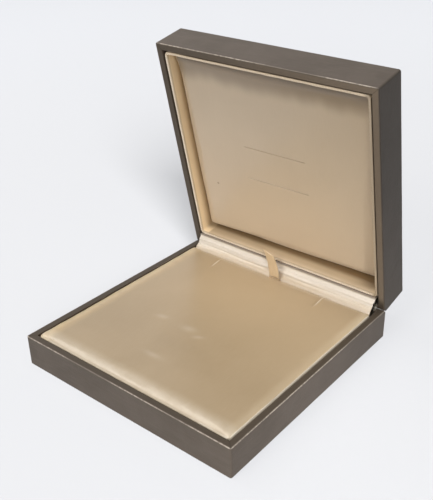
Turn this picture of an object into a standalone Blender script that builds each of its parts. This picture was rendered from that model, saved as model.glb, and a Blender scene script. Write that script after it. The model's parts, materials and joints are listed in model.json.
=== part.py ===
"""Necklace case: a leatherette case with a satin cushion, and a hinged lid with a padded satin panel.

The origin is the centre of the underside. +Z is up, the lid's hinge lies along the rear (+Y) edge, and
+X is to the right. Base and lid are both built as open trays with the rim on top. The lid's tray is then
turned over onto the base and swung open about the hinge pin.
"""

import math

import bmesh
import bpy
from mathutils import Matrix, Vector

MM = 0.001

# Case
CASE_WIDTH = 190 * MM
CASE_DEPTH = 190 * MM
BASE_HEIGHT = 24.5 * MM
LID_HEIGHT = 28.6 * MM
SEAM_GAP = 0.3 * MM  # between the two rims when the lid is shut
REST_OPENING = math.radians(78)

# Walls and covering
RIM_WIDTH = 5.5 * MM
COVERING = 0.6 * MM
GLUE = 0.3 * MM
WALL_BOARD = RIM_WIDTH - 2 * (COVERING + GLUE)
FLOOR_BOARD = 3.0 * MM
CORNER_RADIUS = 1.6 * MM
INNER_CORNER_RADIUS = 0.3 * MM
CORNER_MARGIN = 0.1 * MM  # between a corner's arc and the line where the rear chamfer starts
FOLD_RADIUS = 0.7 * MM
CORNER_STEPS = 3
CORNER_SHARE = 0.8  # the most of a half-side that a rounded corner may take
MITRE_GAP = 0.3 * MM
BOARD_CORNER_CUT = 0.9 * MM
TURN_IN = 12.0 * MM
LID_TURN_OVER = 16.0 * MM
LINER_THICKNESS = 0.8 * MM
COVERING_LIFT = 0.2 * MM  # the covering stays this far off what the liner stands on
FLOOR_LINING = 0.4 * MM
LINING_GAP = 0.3 * MM

# Hinge
PIVOT_INSET = 2.6 * MM
HINGE_CLEARANCE = 0.3 * MM
REAR_CHAMFER = PIVOT_INSET + HINGE_CLEARANCE
LEAF_THICKNESS = 0.5 * MM
LEAF_END_INSET = 7.0 * MM  # from the case's side
LEAF_DROP = 12.5 * MM
LEAF_SEAT = 0.3 * MM
REBATE_DEPTH = 1.25 * MM
REBATE_END_GAP = 0.5 * MM
KNUCKLE_RADIUS = 1.0 * MM
BORE_RADIUS = 0.5 * MM
PIN_RADIUS = 0.4 * MM
PIN_END_INSET = 0.2 * MM
KNUCKLES = 9
KNUCKLE_GAP = 0.3 * MM
KNUCKLE_RELIEF = 0.3 * MM
BARREL_SIDES = 12
TACK_HEAD_RADIUS = 1.5 * MM
TACK_HEAD_HEIGHT = 0.6 * MM
TACK_DOME = (0.6, 0.85, 0.3)  # shares: the crown's radius, the crown's height, the brim's height
TACK_SHANK_RADIUS = 0.6 * MM
TACK_LENGTH = 3.4 * MM
TACK_HOLE_RADIUS = 0.9 * MM
TACK_HOLE_DEPTH = 4.2 * MM
TACK_DROP = 8.5 * MM
TACK_SHARES = (-0.75, -0.25, 0.25, 0.75)
TACK_SIDES = 8
SPRING_WIDTH = 9.0 * MM
SPRING_THICKNESS = 0.4 * MM
SPRING_SHARE = 0.5
SPRING_GAP = 0.3 * MM
SPRING_FOOT_START = 11.0 * MM
SPRING_FOOT_END = 5.0 * MM
SPRING_BOW = 0.9 * MM
SPRING_STEPS = 8

# Cushion in the base
CUSHION_SIDE_GAP = 0.5 * MM
CUSHION_REAR_SPACE = 12.8 * MM  # from the case's rear face to the cushion
CUSHION_EDGE_DROP = 2.5 * MM  # from the rim down to where the cushion's top begins
CUSHION_SIDE_HEIGHT = 8.3 * MM
CUSHION_CORNER_RADIUS = 3.0 * MM
CUSHION_ROLL_WIDTH = 9.0 * MM
CUSHION_ROLL_HEIGHT = 3.4 * MM
CUSHION_CROWN = 1.6 * MM
CUSHION_DRAWN_IN = 0.9 * MM
SATIN = 0.4 * MM
SATIN_GAP = 0.3 * MM
SATIN_TURN_IN = 14.0 * MM
PAD_BOARD = 1.8 * MM
EYE = 3.0 * MM  # half-width of the flat at the middle of a crown
CUSHION_SPLITS = 5
CUSHION_CORNER_STEPS = 3
ROLL_SHARES = (0.0, 0.1, 0.3, 0.6, 1.0)
CROWN_SHARES = (0.2, 0.5, 0.8)
SLITS = (
    (-53.0 * MM, 7.4 * MM, 13.5 * MM),  # x, the gap to the cushion's rear edge, and the length
    (48.7 * MM, 3.0 * MM, 16.5 * MM),
)
SLIT_WIDTH = 0.8 * MM
REST_THICKNESS = 2.0 * MM
REST_GAP = 0.3 * MM

# Ribbon
RIBBON_WIDTH = 10.0 * MM
RIBBON_SHIFT = -1.9 * MM  # the ribbon is glued a little left of the middle
RIBBON_THICKNESS = 0.3 * MM
RIBBON_FOLD_GAP = 0.15 * MM
RIBBON_SPACE = 0.4 * MM
RIBBON_FOLD_DROP = 0.3 * MM  # from the rim down to the line where the ribbon folds forward
RIBBON_ROOT_LENGTH = 9.0 * MM
RIBBON_LONG_SIDE = 26.0 * MM
RIBBON_SHORT_SIDE = 22.5 * MM
RIBBON_FORWARD_LEAN = math.radians(10)
RIBBON_SIDE_LEAN = -3.6 * MM
RIBBON_LEAN_POWER = 1.4  # the lean grows towards the tab's end
RIBBON_BOW = 0.9 * MM
RIBBON_END_SHARE = 0.45  # of the tab's thickness, where the ribbon is doubled back
RIBBON_STEPS = 7
RIBBON_START_GAP = 0.4 * MM
RIBBON_ROOT_CLEARANCE = 0.35 * MM  # under the fold, for the tab's end as it turns

# Collar and panel in the lid
COLLAR_INSET = 6.4 * MM
COLLAR_REAR_INSET = 12.2 * MM
COLLAR_EDGE_DROP = 0.5 * MM
COLLAR_CARD = 1.0 * MM
COLLAR_CORNER_RADIUS = 4.0 * MM
COLLAR_OUTER_LEG = 5.0 * MM
COLLAR_INNER_LEG = 19.0 * MM
COLLAR_CORNER_STEPS = 4
PANEL_GAP = 0.5 * MM
PANEL_EDGE_DEPTH = 14.0 * MM  # from the rim to where the panel's rounded edge begins
PANEL_CORNER_RADIUS = 4.0 * MM
PANEL_ROLL_WIDTH = 4.0 * MM
PANEL_ROLL_HEIGHT = 2.0 * MM
PANEL_CROWN = 1.4 * MM
PANEL_DRAWN_IN = 0.4 * MM

# Gusset over the hinge
GUSSET_END_INSET = 7.5 * MM  # from the case's side
GUSSET_THICKNESS = 0.4 * MM
GUSSET_CLEARANCE = 0.8 * MM  # behind the cushion
GUSSET_COLLAR_GAP = 0.3 * MM
GUSSET_BASE_DROP = 17.0 * MM
GUSSET_BASE_TOP_DROP = 3.0 * MM
GUSSET_LID_DROP = 12.0 * MM
GUSSET_LID_TOP_DROP = 1.0 * MM
GUSSET_FOLDS = 2
GUSSET_FOLD_DEPTH = 0.55 * MM
GUSSET_BELLY = 1.0 * MM
GUSSET_STEPS = 14
GUSSET_STATIONS = 9
GUSSET_FOLD_VARIATION = 0.35  # of the fold's depth, from the ends to the middle
GUSSET_WANDER = 0.12  # how far the folds shift along their height from one end to the other

OVERRUN = 2.0 * MM  # how far a cutter passes what it cuts
SHARP_ANGLE = math.radians(35)  # an edge of a smooth piece stays sharp above this

HALF_WIDTH = CASE_WIDTH / 2
HALF_DEPTH = CASE_DEPTH / 2
PIVOT_Y = HALF_DEPTH - PIVOT_INSET
PIVOT_Z = BASE_HEIGHT + SEAM_GAP / 2
LEAF_HALF_LENGTH = HALF_WIDTH - LEAF_END_INSET
GUSSET_HALF_WIDTH = HALF_WIDTH - GUSSET_END_INSET
CUSHION_HALF_X = HALF_WIDTH - RIM_WIDTH - CUSHION_SIDE_GAP
CUSHION_FRONT = -(HALF_DEPTH - RIM_WIDTH - CUSHION_SIDE_GAP)
CUSHION_REAR = HALF_DEPTH - CUSHION_REAR_SPACE
CUSHION_TOP_EDGE = BASE_HEIGHT - CUSHION_EDGE_DROP
CUSHION_BOTTOM = CUSHION_TOP_EDGE - CUSHION_SIDE_HEIGHT
FLOOR_BOTTOM = COVERING_LIFT + COVERING + GLUE
FLOOR_TOP = FLOOR_BOTTOM + FLOOR_BOARD
LINING_BOTTOM = FLOOR_TOP + LINING_GAP
LINING_TOP = LINING_BOTTOM + FLOOR_LINING
LID_BOARD_BOTTOM = COVERING + GLUE
LID_BOARD_TOP = LID_BOARD_BOTTOM + FLOOR_BOARD
GUSSET_Y = CUSHION_REAR + GUSSET_CLEARANCE + GUSSET_THICKNESS / 2
RIBBON_STACK = 2 * RIBBON_THICKNESS + RIBBON_FOLD_GAP
RIBBON_Y = GUSSET_Y - GUSSET_THICKNESS / 2 - RIBBON_SPACE - RIBBON_STACK / 2
RIBBON_Z = BASE_HEIGHT - RIBBON_FOLD_DROP
LEATHERETTE_COLOUR = (0.135, 0.110, 0.085, 1)
SATIN_COLOUR = (0.50, 0.40, 0.27, 1)
RIBBON_COLOUR = (0.55, 0.44, 0.30, 1)
GUSSET_COLOUR = (0.72, 0.66, 0.58, 1)
BOARD_COLOUR = (0.34, 0.26, 0.18, 1)
CARD_COLOUR = (0.42, 0.38, 0.32, 1)
FOAM_COLOUR = (0.75, 0.72, 0.62, 1)
LINER_COLOUR = (0.055, 0.048, 0.042, 1)
STEEL_COLOUR = (0.62, 0.61, 0.58, 1)
BRASS_COLOUR = (0.66, 0.52, 0.28, 1)


def clear_scene():
    for old in list(bpy.data.objects):
        bpy.data.objects.remove(old, do_unlink=True)


def finish_material(name, colour, roughness, metallic=0.0):
    material = bpy.data.materials.new(name)
    material.use_nodes = True
    shader = material.node_tree.nodes["Principled BSDF"]
    shader.inputs["Base Color"].default_value = colour
    shader.inputs["Roughness"].default_value = roughness
    shader.inputs["Metallic"].default_value = metallic
    material.diffuse_color = colour
    return material


def add_object(name, bm, material, parent=None, place=None, smooth=False):
    """The bmesh as a closed, outward-facing object. place is its matrix under the parent."""
    bmesh.ops.recalc_face_normals(bm, faces=bm.faces)
    mesh = bpy.data.meshes.new(name)
    bm.to_mesh(mesh)
    bm.free()
    mesh.materials.append(material)
    if smooth:
        mesh.shade_smooth()
        mesh.set_sharp_from_angle(angle=SHARP_ANGLE)
    piece = bpy.data.objects.new(name, mesh)
    bpy.context.scene.collection.objects.link(piece)
    piece.parent = parent
    if place is not None:
        piece.matrix_local = place
    return piece


def add_cutter(name, bm, parent=None, place=None):
    material = bpy.data.materials.get("cutter") or bpy.data.materials.new("cutter")
    cutter = add_object(name, bm, material, parent, place)
    cutter.hide_render = True
    cutter.display_type = "WIRE"
    return cutter


def boolean(piece, other, operation="DIFFERENCE"):
    modifier = piece.modifiers.new(operation.lower(), "BOOLEAN")
    modifier.operation = operation
    modifier.solver = "EXACT"
    modifier.object = other


def add_box(bm, low, high):
    """A box between two corners, added to the bmesh."""
    low, high = Vector(low), Vector(high)
    made = bmesh.ops.create_cube(bm, size=1)["verts"]
    size = high - low
    bmesh.ops.scale(bm, vec=size, verts=made)
    bmesh.ops.translate(bm, vec=(low + high) / 2, verts=made)


def box(low, high):
    bm = bmesh.new()
    add_box(bm, low, high)
    return bm


def trim(bm, point, normal):
    """Cuts away what lies on the normal's side of a plane, and closes the cut."""
    everything = bm.verts[:] + bm.edges[:] + bm.faces[:]
    cut = bmesh.ops.bisect_plane(
        bm, geom=everything, plane_co=point, plane_no=normal, clear_outer=True
    )
    edges = [item for item in cut["geom_cut"] if isinstance(item, bmesh.types.BMEdge)]
    if edges:
        bmesh.ops.edgeloop_fill(bm, edges=edges)


def outline(half_x, front, rear, radius, steps, splits=1, stop=None, drawn_in=0.0):
    """Points round a rectangle with rounded corners, from the front right corner, anticlockwise.

    splits divides each straight side. stop adds a point on the left and right sides at that y, or as near
    to it as the rear corners allow. drawn_in bends each side inwards at its middle.
    """
    radius = min(radius, CORNER_SHARE * half_x, CORNER_SHARE * (rear - front) / 2)
    corners = (
        (half_x - radius, front + radius, -90),
        (half_x - radius, rear - radius, 0),
        (-half_x + radius, rear - radius, 90),
        (-half_x + radius, front + radius, 180),
    )
    points = []
    for index, (x, y, angle) in enumerate(corners):
        for step in range(steps + 1):
            turn = math.radians(angle + 90 * step / steps)
            points.append((x + radius * math.cos(turn), y + radius * math.sin(turn)))
        if stop is not None and index in (0, 2):
            side = half_x if index == 0 else -half_x
            points.append((side, min(stop, rear - radius - CORNER_MARGIN)))
        following = corners[(index + 1) % 4]
        last, start = points[-1], math.radians(following[2])
        ahead = (following[0] + radius * math.cos(start), following[1] + radius * math.sin(start))
        for split in range(1, splits):
            share = split / splits
            points.append(tuple(a + (b - a) * share for a, b in zip(last, ahead)))
    if not drawn_in:
        return points
    middle = (front + rear) / 2
    half_y = (rear - front) / 2
    bent = []
    for x, y in points:
        across, along = x / half_x, (y - middle) / half_y
        pull_x = drawn_in * (1 - along * along) * abs(across) ** 3 * math.copysign(1, x)
        pull_y = drawn_in * (1 - across * across) * abs(along) ** 3 * math.copysign(1, along)
        bent.append((x - pull_x, y - pull_y))
    return bent


def body_of_loops(loops, ring=False):
    """A closed body through matching loops of points: a ring joins its last loop to its first, and
    otherwise the first and last loops are capped."""
    bm = bmesh.new()
    rows = [[bm.verts.new(point) for point in loop] for loop in loops]
    count = len(rows[0])
    pairs = list(zip(rows, rows[1:])) + ([(rows[-1], rows[0])] if ring else [])
    for lower, upper in pairs:
        for i in range(count):
            j = (i + 1) % count
            bm.faces.new((lower[i], lower[j], upper[j], upper[i]))
    if not ring:
        bm.faces.new(rows[0])
        bm.faces.new(rows[-1])
    return bm


def plate(half_x, front, rear, radius, low, high):
    """A flat sheet with rounded corners."""
    points = outline(half_x, front, rear, radius, CORNER_STEPS)
    return body_of_loops([[(x, y, z) for x, y in points] for z in (low, high)])


def shell_loop(height, inset, z, depth_in_skin=0.0):
    """One loop round a tray's wall, inset from its outer faces, kept under the rear edge's chamfer.

    depth_in_skin is how far the loop lies inside the covering's outer surface.
    """
    half_x, half_y = HALF_WIDTH - inset, HALF_DEPTH - inset
    radius = max(CORNER_RADIUS - inset, INNER_CORNER_RADIUS)
    chamfer_start = HALF_DEPTH - REAR_CHAMFER
    stop = chamfer_start - depth_in_skin * (math.sqrt(2) - 1)
    loop = []
    for x, y in outline(half_x, -half_y, half_y, radius, CORNER_STEPS, stop=stop):
        top = height - (y - chamfer_start) - depth_in_skin * math.sqrt(2)
        loop.append((x, y, min(z, top)))
    return loop


def covering_rim(height, bottom, inner_bottom):
    """The loops of a covering from its outer bottom fold, over the rim and down inside, then back."""
    fold, skin, inner = FOLD_RADIUS, COVERING, RIM_WIDTH
    soft = fold * (1 - math.sqrt(0.5))
    outside = [
        (0.0, bottom + fold),
        (0.0, height - fold),
        (soft, height - soft),
        (fold, height),
        (REAR_CHAMFER, height),
        (inner - fold, height),
        (inner - soft, height - soft),
        (inner, height - fold),
        (inner, inner_bottom),
    ]
    hidden = [
        (inner - skin, inner_bottom),
        (inner - skin, height - skin),
        (REAR_CHAMFER + skin * (math.sqrt(2) - 1), height - skin),
        (skin, height - skin),
        (skin, bottom + skin),
    ]
    loops = [shell_loop(height, inset, z) for inset, z in outside]
    return loops, [shell_loop(height, inset, z, skin) for inset, z in hidden]


def base_covering(material):
    """The sheet is turned under by TURN_IN, so that it leaves the liner's place open."""
    low, skin = COVERING_LIFT, COVERING
    outside, hidden = covering_rim(BASE_HEIGHT, low, LINING_BOTTOM)
    soft = FOLD_RADIUS * (1 - math.sqrt(0.5))
    under = [
        shell_loop(BASE_HEIGHT, TURN_IN, low),
        shell_loop(BASE_HEIGHT, FOLD_RADIUS, low),
        shell_loop(BASE_HEIGHT, soft, low + soft),
    ]
    last = [shell_loop(BASE_HEIGHT, TURN_IN, low + skin)]
    return add_object("base_leatherette", body_of_loops(under + outside + hidden + last, ring=True), material)


def lid_covering(material, lid):
    outside, hidden = covering_rim(LID_HEIGHT, 0.0, LID_HEIGHT - LID_TURN_OVER)
    soft = FOLD_RADIUS * (1 - math.sqrt(0.5))
    top = [shell_loop(LID_HEIGHT, FOLD_RADIUS, 0.0), shell_loop(LID_HEIGHT, soft, soft)]
    return add_object("lid_leatherette", body_of_loops(top + outside + hidden), material, *lid)


def wall_boards(prefix, height, bottom, material, parent=None, place=None):
    """Four mitred boards inside the covering. The rear one carries the hinge."""
    outer = COVERING + GLUE
    inner = outer + WALL_BOARD
    top = height - outer
    x_out, y_out = HALF_WIDTH - outer, HALF_DEPTH - outer
    x_in, y_in = HALF_WIDTH - inner, HALF_DEPTH - inner
    spans = {
        "front": ((-x_out, -y_out), (x_out, -y_in)),
        "rear": ((-x_out, y_in), (x_out, y_out)),
        "left": ((-x_out, -y_out), (-x_in, y_out)),
        "right": ((x_in, -y_out), (x_out, y_out)),
    }
    boards = {}
    for side, (low, high) in spans.items():
        bm = box((*low, bottom), (*high, top))
        for sx, sy in ((-1, -1), (1, -1), (1, 1), (-1, 1)):
            corner = Vector((sx * HALF_WIDTH, sy * HALF_DEPTH, 0))
            across = Vector((sx, -sy, 0)).normalized()
            if side in ("left", "right"):
                across = -across
            on_board = {"front": sy < 0, "rear": sy > 0, "left": sx < 0, "right": sx > 0}[side]
            if not on_board:
                continue
            trim(bm, corner - across * MITRE_GAP / 2, across)
            outward = Vector((sx, sy, 0)).normalized()
            tip = Vector((sx * x_out, sy * y_out, 0))
            trim(bm, tip - outward * BOARD_CORNER_CUT, outward)
        slope = Vector((0, 1, 1)).normalized()
        chamfer = Vector((0, HALF_DEPTH - REAR_CHAMFER, height)) - slope * outer
        trim(bm, chamfer, slope)
        boards[side] = add_object(f"{prefix}_{side}_board", bm, material, parent, place)
    return boards


def rebate_cutter(name, height, parent=None, place=None):
    """The step in a rear rim that the hinge leaf lies in."""
    half = LEAF_HALF_LENGTH + REBATE_END_GAP
    low = (-half, HALF_DEPTH - RIM_WIDTH - OVERRUN, height - REBATE_DEPTH)
    high = (half, HALF_DEPTH + OVERRUN, height + OVERRUN)
    return add_cutter(name, box(low, high), parent, place)


def tack_places(height):
    """The middle of each tack's seat, on the inner face of the leaf."""
    y = HALF_DEPTH - RIM_WIDTH - LEAF_SEAT - LEAF_THICKNESS
    return [(share * LEAF_HALF_LENGTH, y, height - TACK_DROP) for share in TACK_SHARES]


def along_y(place):
    """Turns a shape's +Z to +Y and puts its origin at a place."""
    return Matrix.Translation(place) @ Matrix.Rotation(-math.pi / 2, 4, "X")


def drill_cutter(name, height, parent=None, place=None):
    bm = bmesh.new()
    length = TACK_HOLE_DEPTH + OVERRUN
    for spot in tack_places(height):
        middle = Vector(spot) + Vector((0, length / 2 - OVERRUN, 0))
        bmesh.ops.create_cone(
            bm, cap_ends=True, segments=TACK_SIDES, radius1=TACK_HOLE_RADIUS,
            radius2=TACK_HOLE_RADIUS, depth=length, matrix=along_y(middle),
        )
    return add_cutter(name, bm, parent, place)


def tacks(prefix, height, material, parent=None, place=None):
    """Domed tacks whose heads stand just off the leaf."""
    crown_radius, crown_height, brim_height = TACK_DOME
    for number, spot in enumerate(tack_places(height), 1):
        bm = bmesh.new()
        profile = [
            (0.0, -TACK_HEAD_HEIGHT),
            (TACK_HEAD_RADIUS * crown_radius, -TACK_HEAD_HEIGHT * crown_height),
            (TACK_HEAD_RADIUS, -TACK_HEAD_HEIGHT * brim_height),
            (TACK_HEAD_RADIUS, 0.0),
            (TACK_SHANK_RADIUS, 0.0),
            (TACK_SHANK_RADIUS, TACK_LENGTH - TACK_SHANK_RADIUS),
            (0.0, TACK_LENGTH),
        ]
        line = [bm.verts.new((r, 0, z)) for r, z in profile]
        edges = [bm.edges.new(pair) for pair in zip(line, line[1:])]
        bmesh.ops.spin(
            bm, geom=line + edges, cent=(0, 0, 0), axis=(0, 0, 1),
            angle=2 * math.pi, steps=TACK_SIDES, use_merge=True,
        )
        bmesh.ops.remove_doubles(bm, verts=bm.verts, dist=0.01 * MM)
        bmesh.ops.transform(bm, matrix=along_y(Vector(spot) - Vector((0, LEAF_SEAT, 0))), verts=bm.verts)
        add_object(f"{prefix}_{number}", bm, material, parent, place, smooth=True)


def barrel(radius, half_length, pivot_z):
    bm = bmesh.new()
    place = Matrix.Translation((0, PIVOT_Y, pivot_z)) @ Matrix.Rotation(math.pi / 2, 4, "Y")
    bmesh.ops.create_cone(
        bm, cap_ends=True, segments=BARREL_SIDES, radius1=radius, radius2=radius,
        depth=2 * half_length, matrix=place,
    )
    return bm


def hinge_leaf(name, height, first, material, parent=None, place=None):
    """An angle plate along the rear rim, with every other knuckle from the first one."""
    pivot_z = height + SEAM_GAP / 2
    inner = HALF_DEPTH - RIM_WIDTH - LEAF_SEAT
    low = height - REBATE_DEPTH + LEAF_SEAT
    top = low + LEAF_THICKNESS
    half = LEAF_HALF_LENGTH
    section = [
        (PIVOT_Y, low),
        (PIVOT_Y, top),
        (inner - LEAF_THICKNESS, top),
        (inner - LEAF_THICKNESS, height - LEAF_DROP),
        (inner, height - LEAF_DROP),
        (inner, low),
    ]
    plate_body = body_of_loops([[(x, y, z) for y, z in section] for x in (-half, half)])
    leaf = add_object(name, plate_body, material, parent, place)
    tube = add_cutter(f"{name}_tube", barrel(KNUCKLE_RADIUS, half, pivot_z), parent, place)
    bore = add_cutter(f"{name}_bore", barrel(BORE_RADIUS, half + OVERRUN, pivot_z), parent, place)
    gaps = bmesh.new()
    pitch = 2 * half / KNUCKLES
    reach = KNUCKLE_RADIUS + KNUCKLE_RELIEF
    for knuckle in range(KNUCKLES):
        if knuckle % 2 == first:
            continue
        start = -half + knuckle * pitch - (OVERRUN if knuckle == 0 else KNUCKLE_GAP / 2)
        end = -half + (knuckle + 1) * pitch + (OVERRUN if knuckle == KNUCKLES - 1 else KNUCKLE_GAP / 2)
        add_box(
            gaps,
            (start, PIVOT_Y - reach, pivot_z - KNUCKLE_RADIUS - OVERRUN),
            (end, PIVOT_Y + reach + OVERRUN, pivot_z + reach + OVERRUN),
        )
    comb = add_cutter(f"{name}_gaps", gaps, parent, place)
    boolean(leaf, tube, "UNION")
    boolean(leaf, bore)
    boolean(leaf, comb)
    return leaf


def strip_through(points, thickness, x_low, x_high):
    """A strip of even thickness along a line of (y, z) points, square across."""
    sides = ([], [])
    for index, point in enumerate(points):
        before = Vector(points[max(index - 1, 0)])
        after = Vector(points[min(index + 1, len(points) - 1)])
        run = (after - before).normalized()
        normal = Vector((-run.y, run.x)) * thickness / 2
        sides[0].append(Vector(point) + normal)
        sides[1].append(Vector(point) - normal)
    section = sides[0] + sides[1][::-1]
    return section_body(section, x_low, x_high)


def section_body(section, x_low, x_high):
    """A closed (y, z) section carried along x, with its ends closed by quads so that it may be bent."""
    bm = bmesh.new()
    rows = [[bm.verts.new((x, y, z)) for y, z in section] for x in (x_low, x_high)]
    count = len(section)
    for i in range(count):
        j = (i + 1) % count
        bm.faces.new((rows[0][i], rows[0][j], rows[1][j], rows[1][i]))
    for row in rows:
        for i in range(count // 2 - 1):
            bm.faces.new((row[i], row[i + 1], row[count - 2 - i], row[count - 1 - i]))
    return bm


def opened(y, z):
    """Where a point of the lid's tray, given by its y and z there, lies when the lid is open at rest."""
    dy = y - PIVOT_Y
    dz = LID_HEIGHT + SEAM_GAP / 2 - z
    cos, sin = math.cos(REST_OPENING), math.sin(REST_OPENING)
    return PIVOT_Y + dy * cos + dz * sin, PIVOT_Z - dy * sin + dz * cos


def hinge_springs(material):
    """Two bowed flat springs, one foot on each leaf, that snap the lid open and shut."""
    foot_y = HALF_DEPTH - RIM_WIDTH - LEAF_SEAT - LEAF_THICKNESS - SPRING_GAP - SPRING_THICKNESS / 2
    low = (foot_y, BASE_HEIGHT - SPRING_FOOT_START)
    start = Vector((foot_y, BASE_HEIGHT - SPRING_FOOT_END))
    end = Vector(opened(foot_y, LID_HEIGHT - SPRING_FOOT_END))
    high = opened(foot_y, LID_HEIGHT - SPRING_FOOT_START)
    reach = (end - start).length
    control_a = start + Vector((-SPRING_BOW, reach / 2))
    into_lid = (Vector(high) - end).normalized()
    away = Vector((-into_lid.y, into_lid.x))
    control_b = end - into_lid * reach / 2 + away * SPRING_BOW
    line = [low]
    for step in range(SPRING_STEPS + 1):
        t = step / SPRING_STEPS
        s = 1 - t
        line.append(tuple(
            s ** 3 * start + 3 * s * s * t * control_a + 3 * s * t * t * control_b + t ** 3 * end
        ))
    line.append(high)
    for side, sign in (("left", -1), ("right", 1)):
        middle = sign * SPRING_SHARE * LEAF_HALF_LENGTH
        bm = strip_through(line, SPRING_THICKNESS, middle - SPRING_WIDTH / 2, middle + SPRING_WIDTH / 2)
        add_object(f"hinge_spring_{side}", bm, material, smooth=True)


def crown_rows(half_x, front, rear, radius, edge_z, roll_width, roll_height, crown, drawn_in, inset):
    """The loops over a crowned top, from its edge to its middle, inset all round and below by inset."""
    hx, f, r = half_x - inset, front + inset, rear - inset
    middle, half_y = (f + r) / 2, (r - f) / 2
    inner = min(hx, half_y) - EYE
    depths = [share * roll_width for share in ROLL_SHARES]
    depths += [roll_width + share * (inner - roll_width) for share in CROWN_SHARES] + [inner]
    rows = []
    for depth in depths:
        rise = roll_height * math.sqrt(max(0.0, 1 - max(0.0, 1 - depth / roll_width) ** 2))
        points = outline(
            hx - depth, f + depth, r - depth, radius, CUSHION_CORNER_STEPS, CUSHION_SPLITS,
            drawn_in=drawn_in * (1 - depth / inner),
        )
        row = []
        for x, y in points:
            swell = (1 - (x / hx) ** 2) * (1 - ((y - middle) / half_y) ** 2)
            if depth == inner:
                swell = 1.0
            row.append((x, y, edge_z - inset + rise + crown * swell))
        rows.append(row)
    return rows


def side_row(half_x, front, rear, radius, z, drawn_in, inset, turned_in=0.0):
    hx, f, r = half_x - inset - turned_in, front + inset + turned_in, rear - inset - turned_in
    points = outline(hx, f, r, radius, CUSHION_CORNER_STEPS, CUSHION_SPLITS, drawn_in=drawn_in)
    return [(x, y, z) for x, y in points]


def padded(prefix, cover_name, shape, bottom, top_edge, roll_width, roll_height, crown, drawn_in,
           materials, parent=None, place=None):
    """A card board, a crowned foam on it and a satin cover round both, turned in below."""
    satin, foam_material, card = materials
    rows = crown_rows(*shape, top_edge, roll_width, roll_height, crown, drawn_in, 0.0)
    inside = crown_rows(*shape, top_edge, roll_width, roll_height, crown, drawn_in, SATIN)
    loops = rows[::-1]
    loops.append(side_row(*shape, bottom, drawn_in, 0.0))
    loops.append(side_row(*shape, bottom, drawn_in, 0.0, SATIN_TURN_IN))
    loops.append(side_row(*shape, bottom + SATIN, drawn_in, 0.0, SATIN_TURN_IN))
    loops.append(side_row(*shape, bottom + SATIN, drawn_in, SATIN))
    loops += inside
    cover = add_object(cover_name, body_of_loops(loops), satin, parent, place, smooth=True)
    step = SATIN + SATIN_GAP
    board_low = bottom + step
    board_high = board_low + PAD_BOARD
    board_loops = [side_row(*shape, z, drawn_in, step) for z in (board_low, board_high)]
    board = add_object(f"{prefix}_board", body_of_loops(board_loops), card, parent, place)
    foam_loops = [side_row(*shape, board_high + SATIN_GAP, drawn_in, step)]
    foam_loops += crown_rows(*shape, top_edge, roll_width, roll_height, crown, drawn_in, step)
    foam = add_object(f"{prefix}_foam", body_of_loops(foam_loops), foam_material, parent, place, smooth=True)
    return cover, board, foam


def slit_cutter():
    """The two slits that a chain's ends are tucked into."""
    bm = bmesh.new()
    low, high = CUSHION_BOTTOM - OVERRUN, BASE_HEIGHT + CUSHION_ROLL_HEIGHT + CUSHION_CROWN + OVERRUN
    for x, rear_gap, length in SLITS:
        rear = CUSHION_REAR - rear_gap
        add_box(bm, (x - SLIT_WIDTH / 2, rear - length, low), (x + SLIT_WIDTH / 2, rear, high))
    return add_cutter("slit_cutter", bm)


def cushion_rests(material):
    """Card strips round the well that the cushion lies on."""
    low, high = LINING_TOP + REST_GAP, CUSHION_BOTTOM - REST_GAP
    x_out = HALF_WIDTH - RIM_WIDTH - REST_GAP
    front = -(HALF_DEPTH - RIM_WIDTH - REST_GAP)
    rear = GUSSET_Y - GUSSET_THICKNESS / 2 - REST_GAP
    x_in, inner = x_out - REST_THICKNESS, REST_THICKNESS + REST_GAP
    spans = {
        "front": ((-x_out, front), (x_out, front + REST_THICKNESS)),
        "rear": ((-x_out, rear - REST_THICKNESS), (x_out, rear)),
        "left": ((-x_out, front + inner), (-x_in, rear - inner)),
        "right": ((x_in, front + inner), (x_out, rear - inner)),
    }
    for side, (near, far) in spans.items():
        add_object(f"cushion_rest_{side}", box((*near, low), (*far, high)), material)


def pull_ribbon(material):
    """The ribbon's root, glued down the cushion's rear edge, and its free tab, which turns at the fold."""
    root_top = RIBBON_Z - RIBBON_ROOT_CLEARANCE
    root_low = root_top - RIBBON_ROOT_LENGTH
    half, thick = RIBBON_WIDTH / 2, RIBBON_STACK / 2
    left, right = RIBBON_SHIFT - half, RIBBON_SHIFT + half
    root = box((left, RIBBON_Y - thick, root_low), (right, RIBBON_Y + thick, root_top))
    add_object("pull_ribbon_root", root, material)
    pivot = bpy.data.objects.new("pull_tab_pivot", None)
    bpy.context.scene.collection.objects.link(pivot)
    pivot.location = (RIBBON_SHIFT, RIBBON_Y, RIBBON_Z)
    pivot.rotation_euler = (RIBBON_FORWARD_LEAN, 0, 0)
    rows = []
    for step in range(RIBBON_STEPS + 1):
        share = step / RIBBON_STEPS
        bow = RIBBON_BOW * math.sin(math.pi * share)
        lean = RIBBON_SIDE_LEAN * share ** RIBBON_LEAN_POWER
        slim = thick * (RIBBON_END_SHARE if step == RIBBON_STEPS else 1)
        long_z = RIBBON_START_GAP + share * (RIBBON_LONG_SIDE - RIBBON_START_GAP)
        short_z = RIBBON_START_GAP + share * (RIBBON_SHORT_SIDE - RIBBON_START_GAP)
        rows.append([
            (-half + lean, bow - slim, long_z),
            (half + lean, bow - slim, short_z),
            (half + lean, bow + slim, short_z),
            (-half + lean, bow + slim, long_z),
        ])
    add_object("pull_ribbon_tab", body_of_loops(rows), material, pivot)


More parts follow.
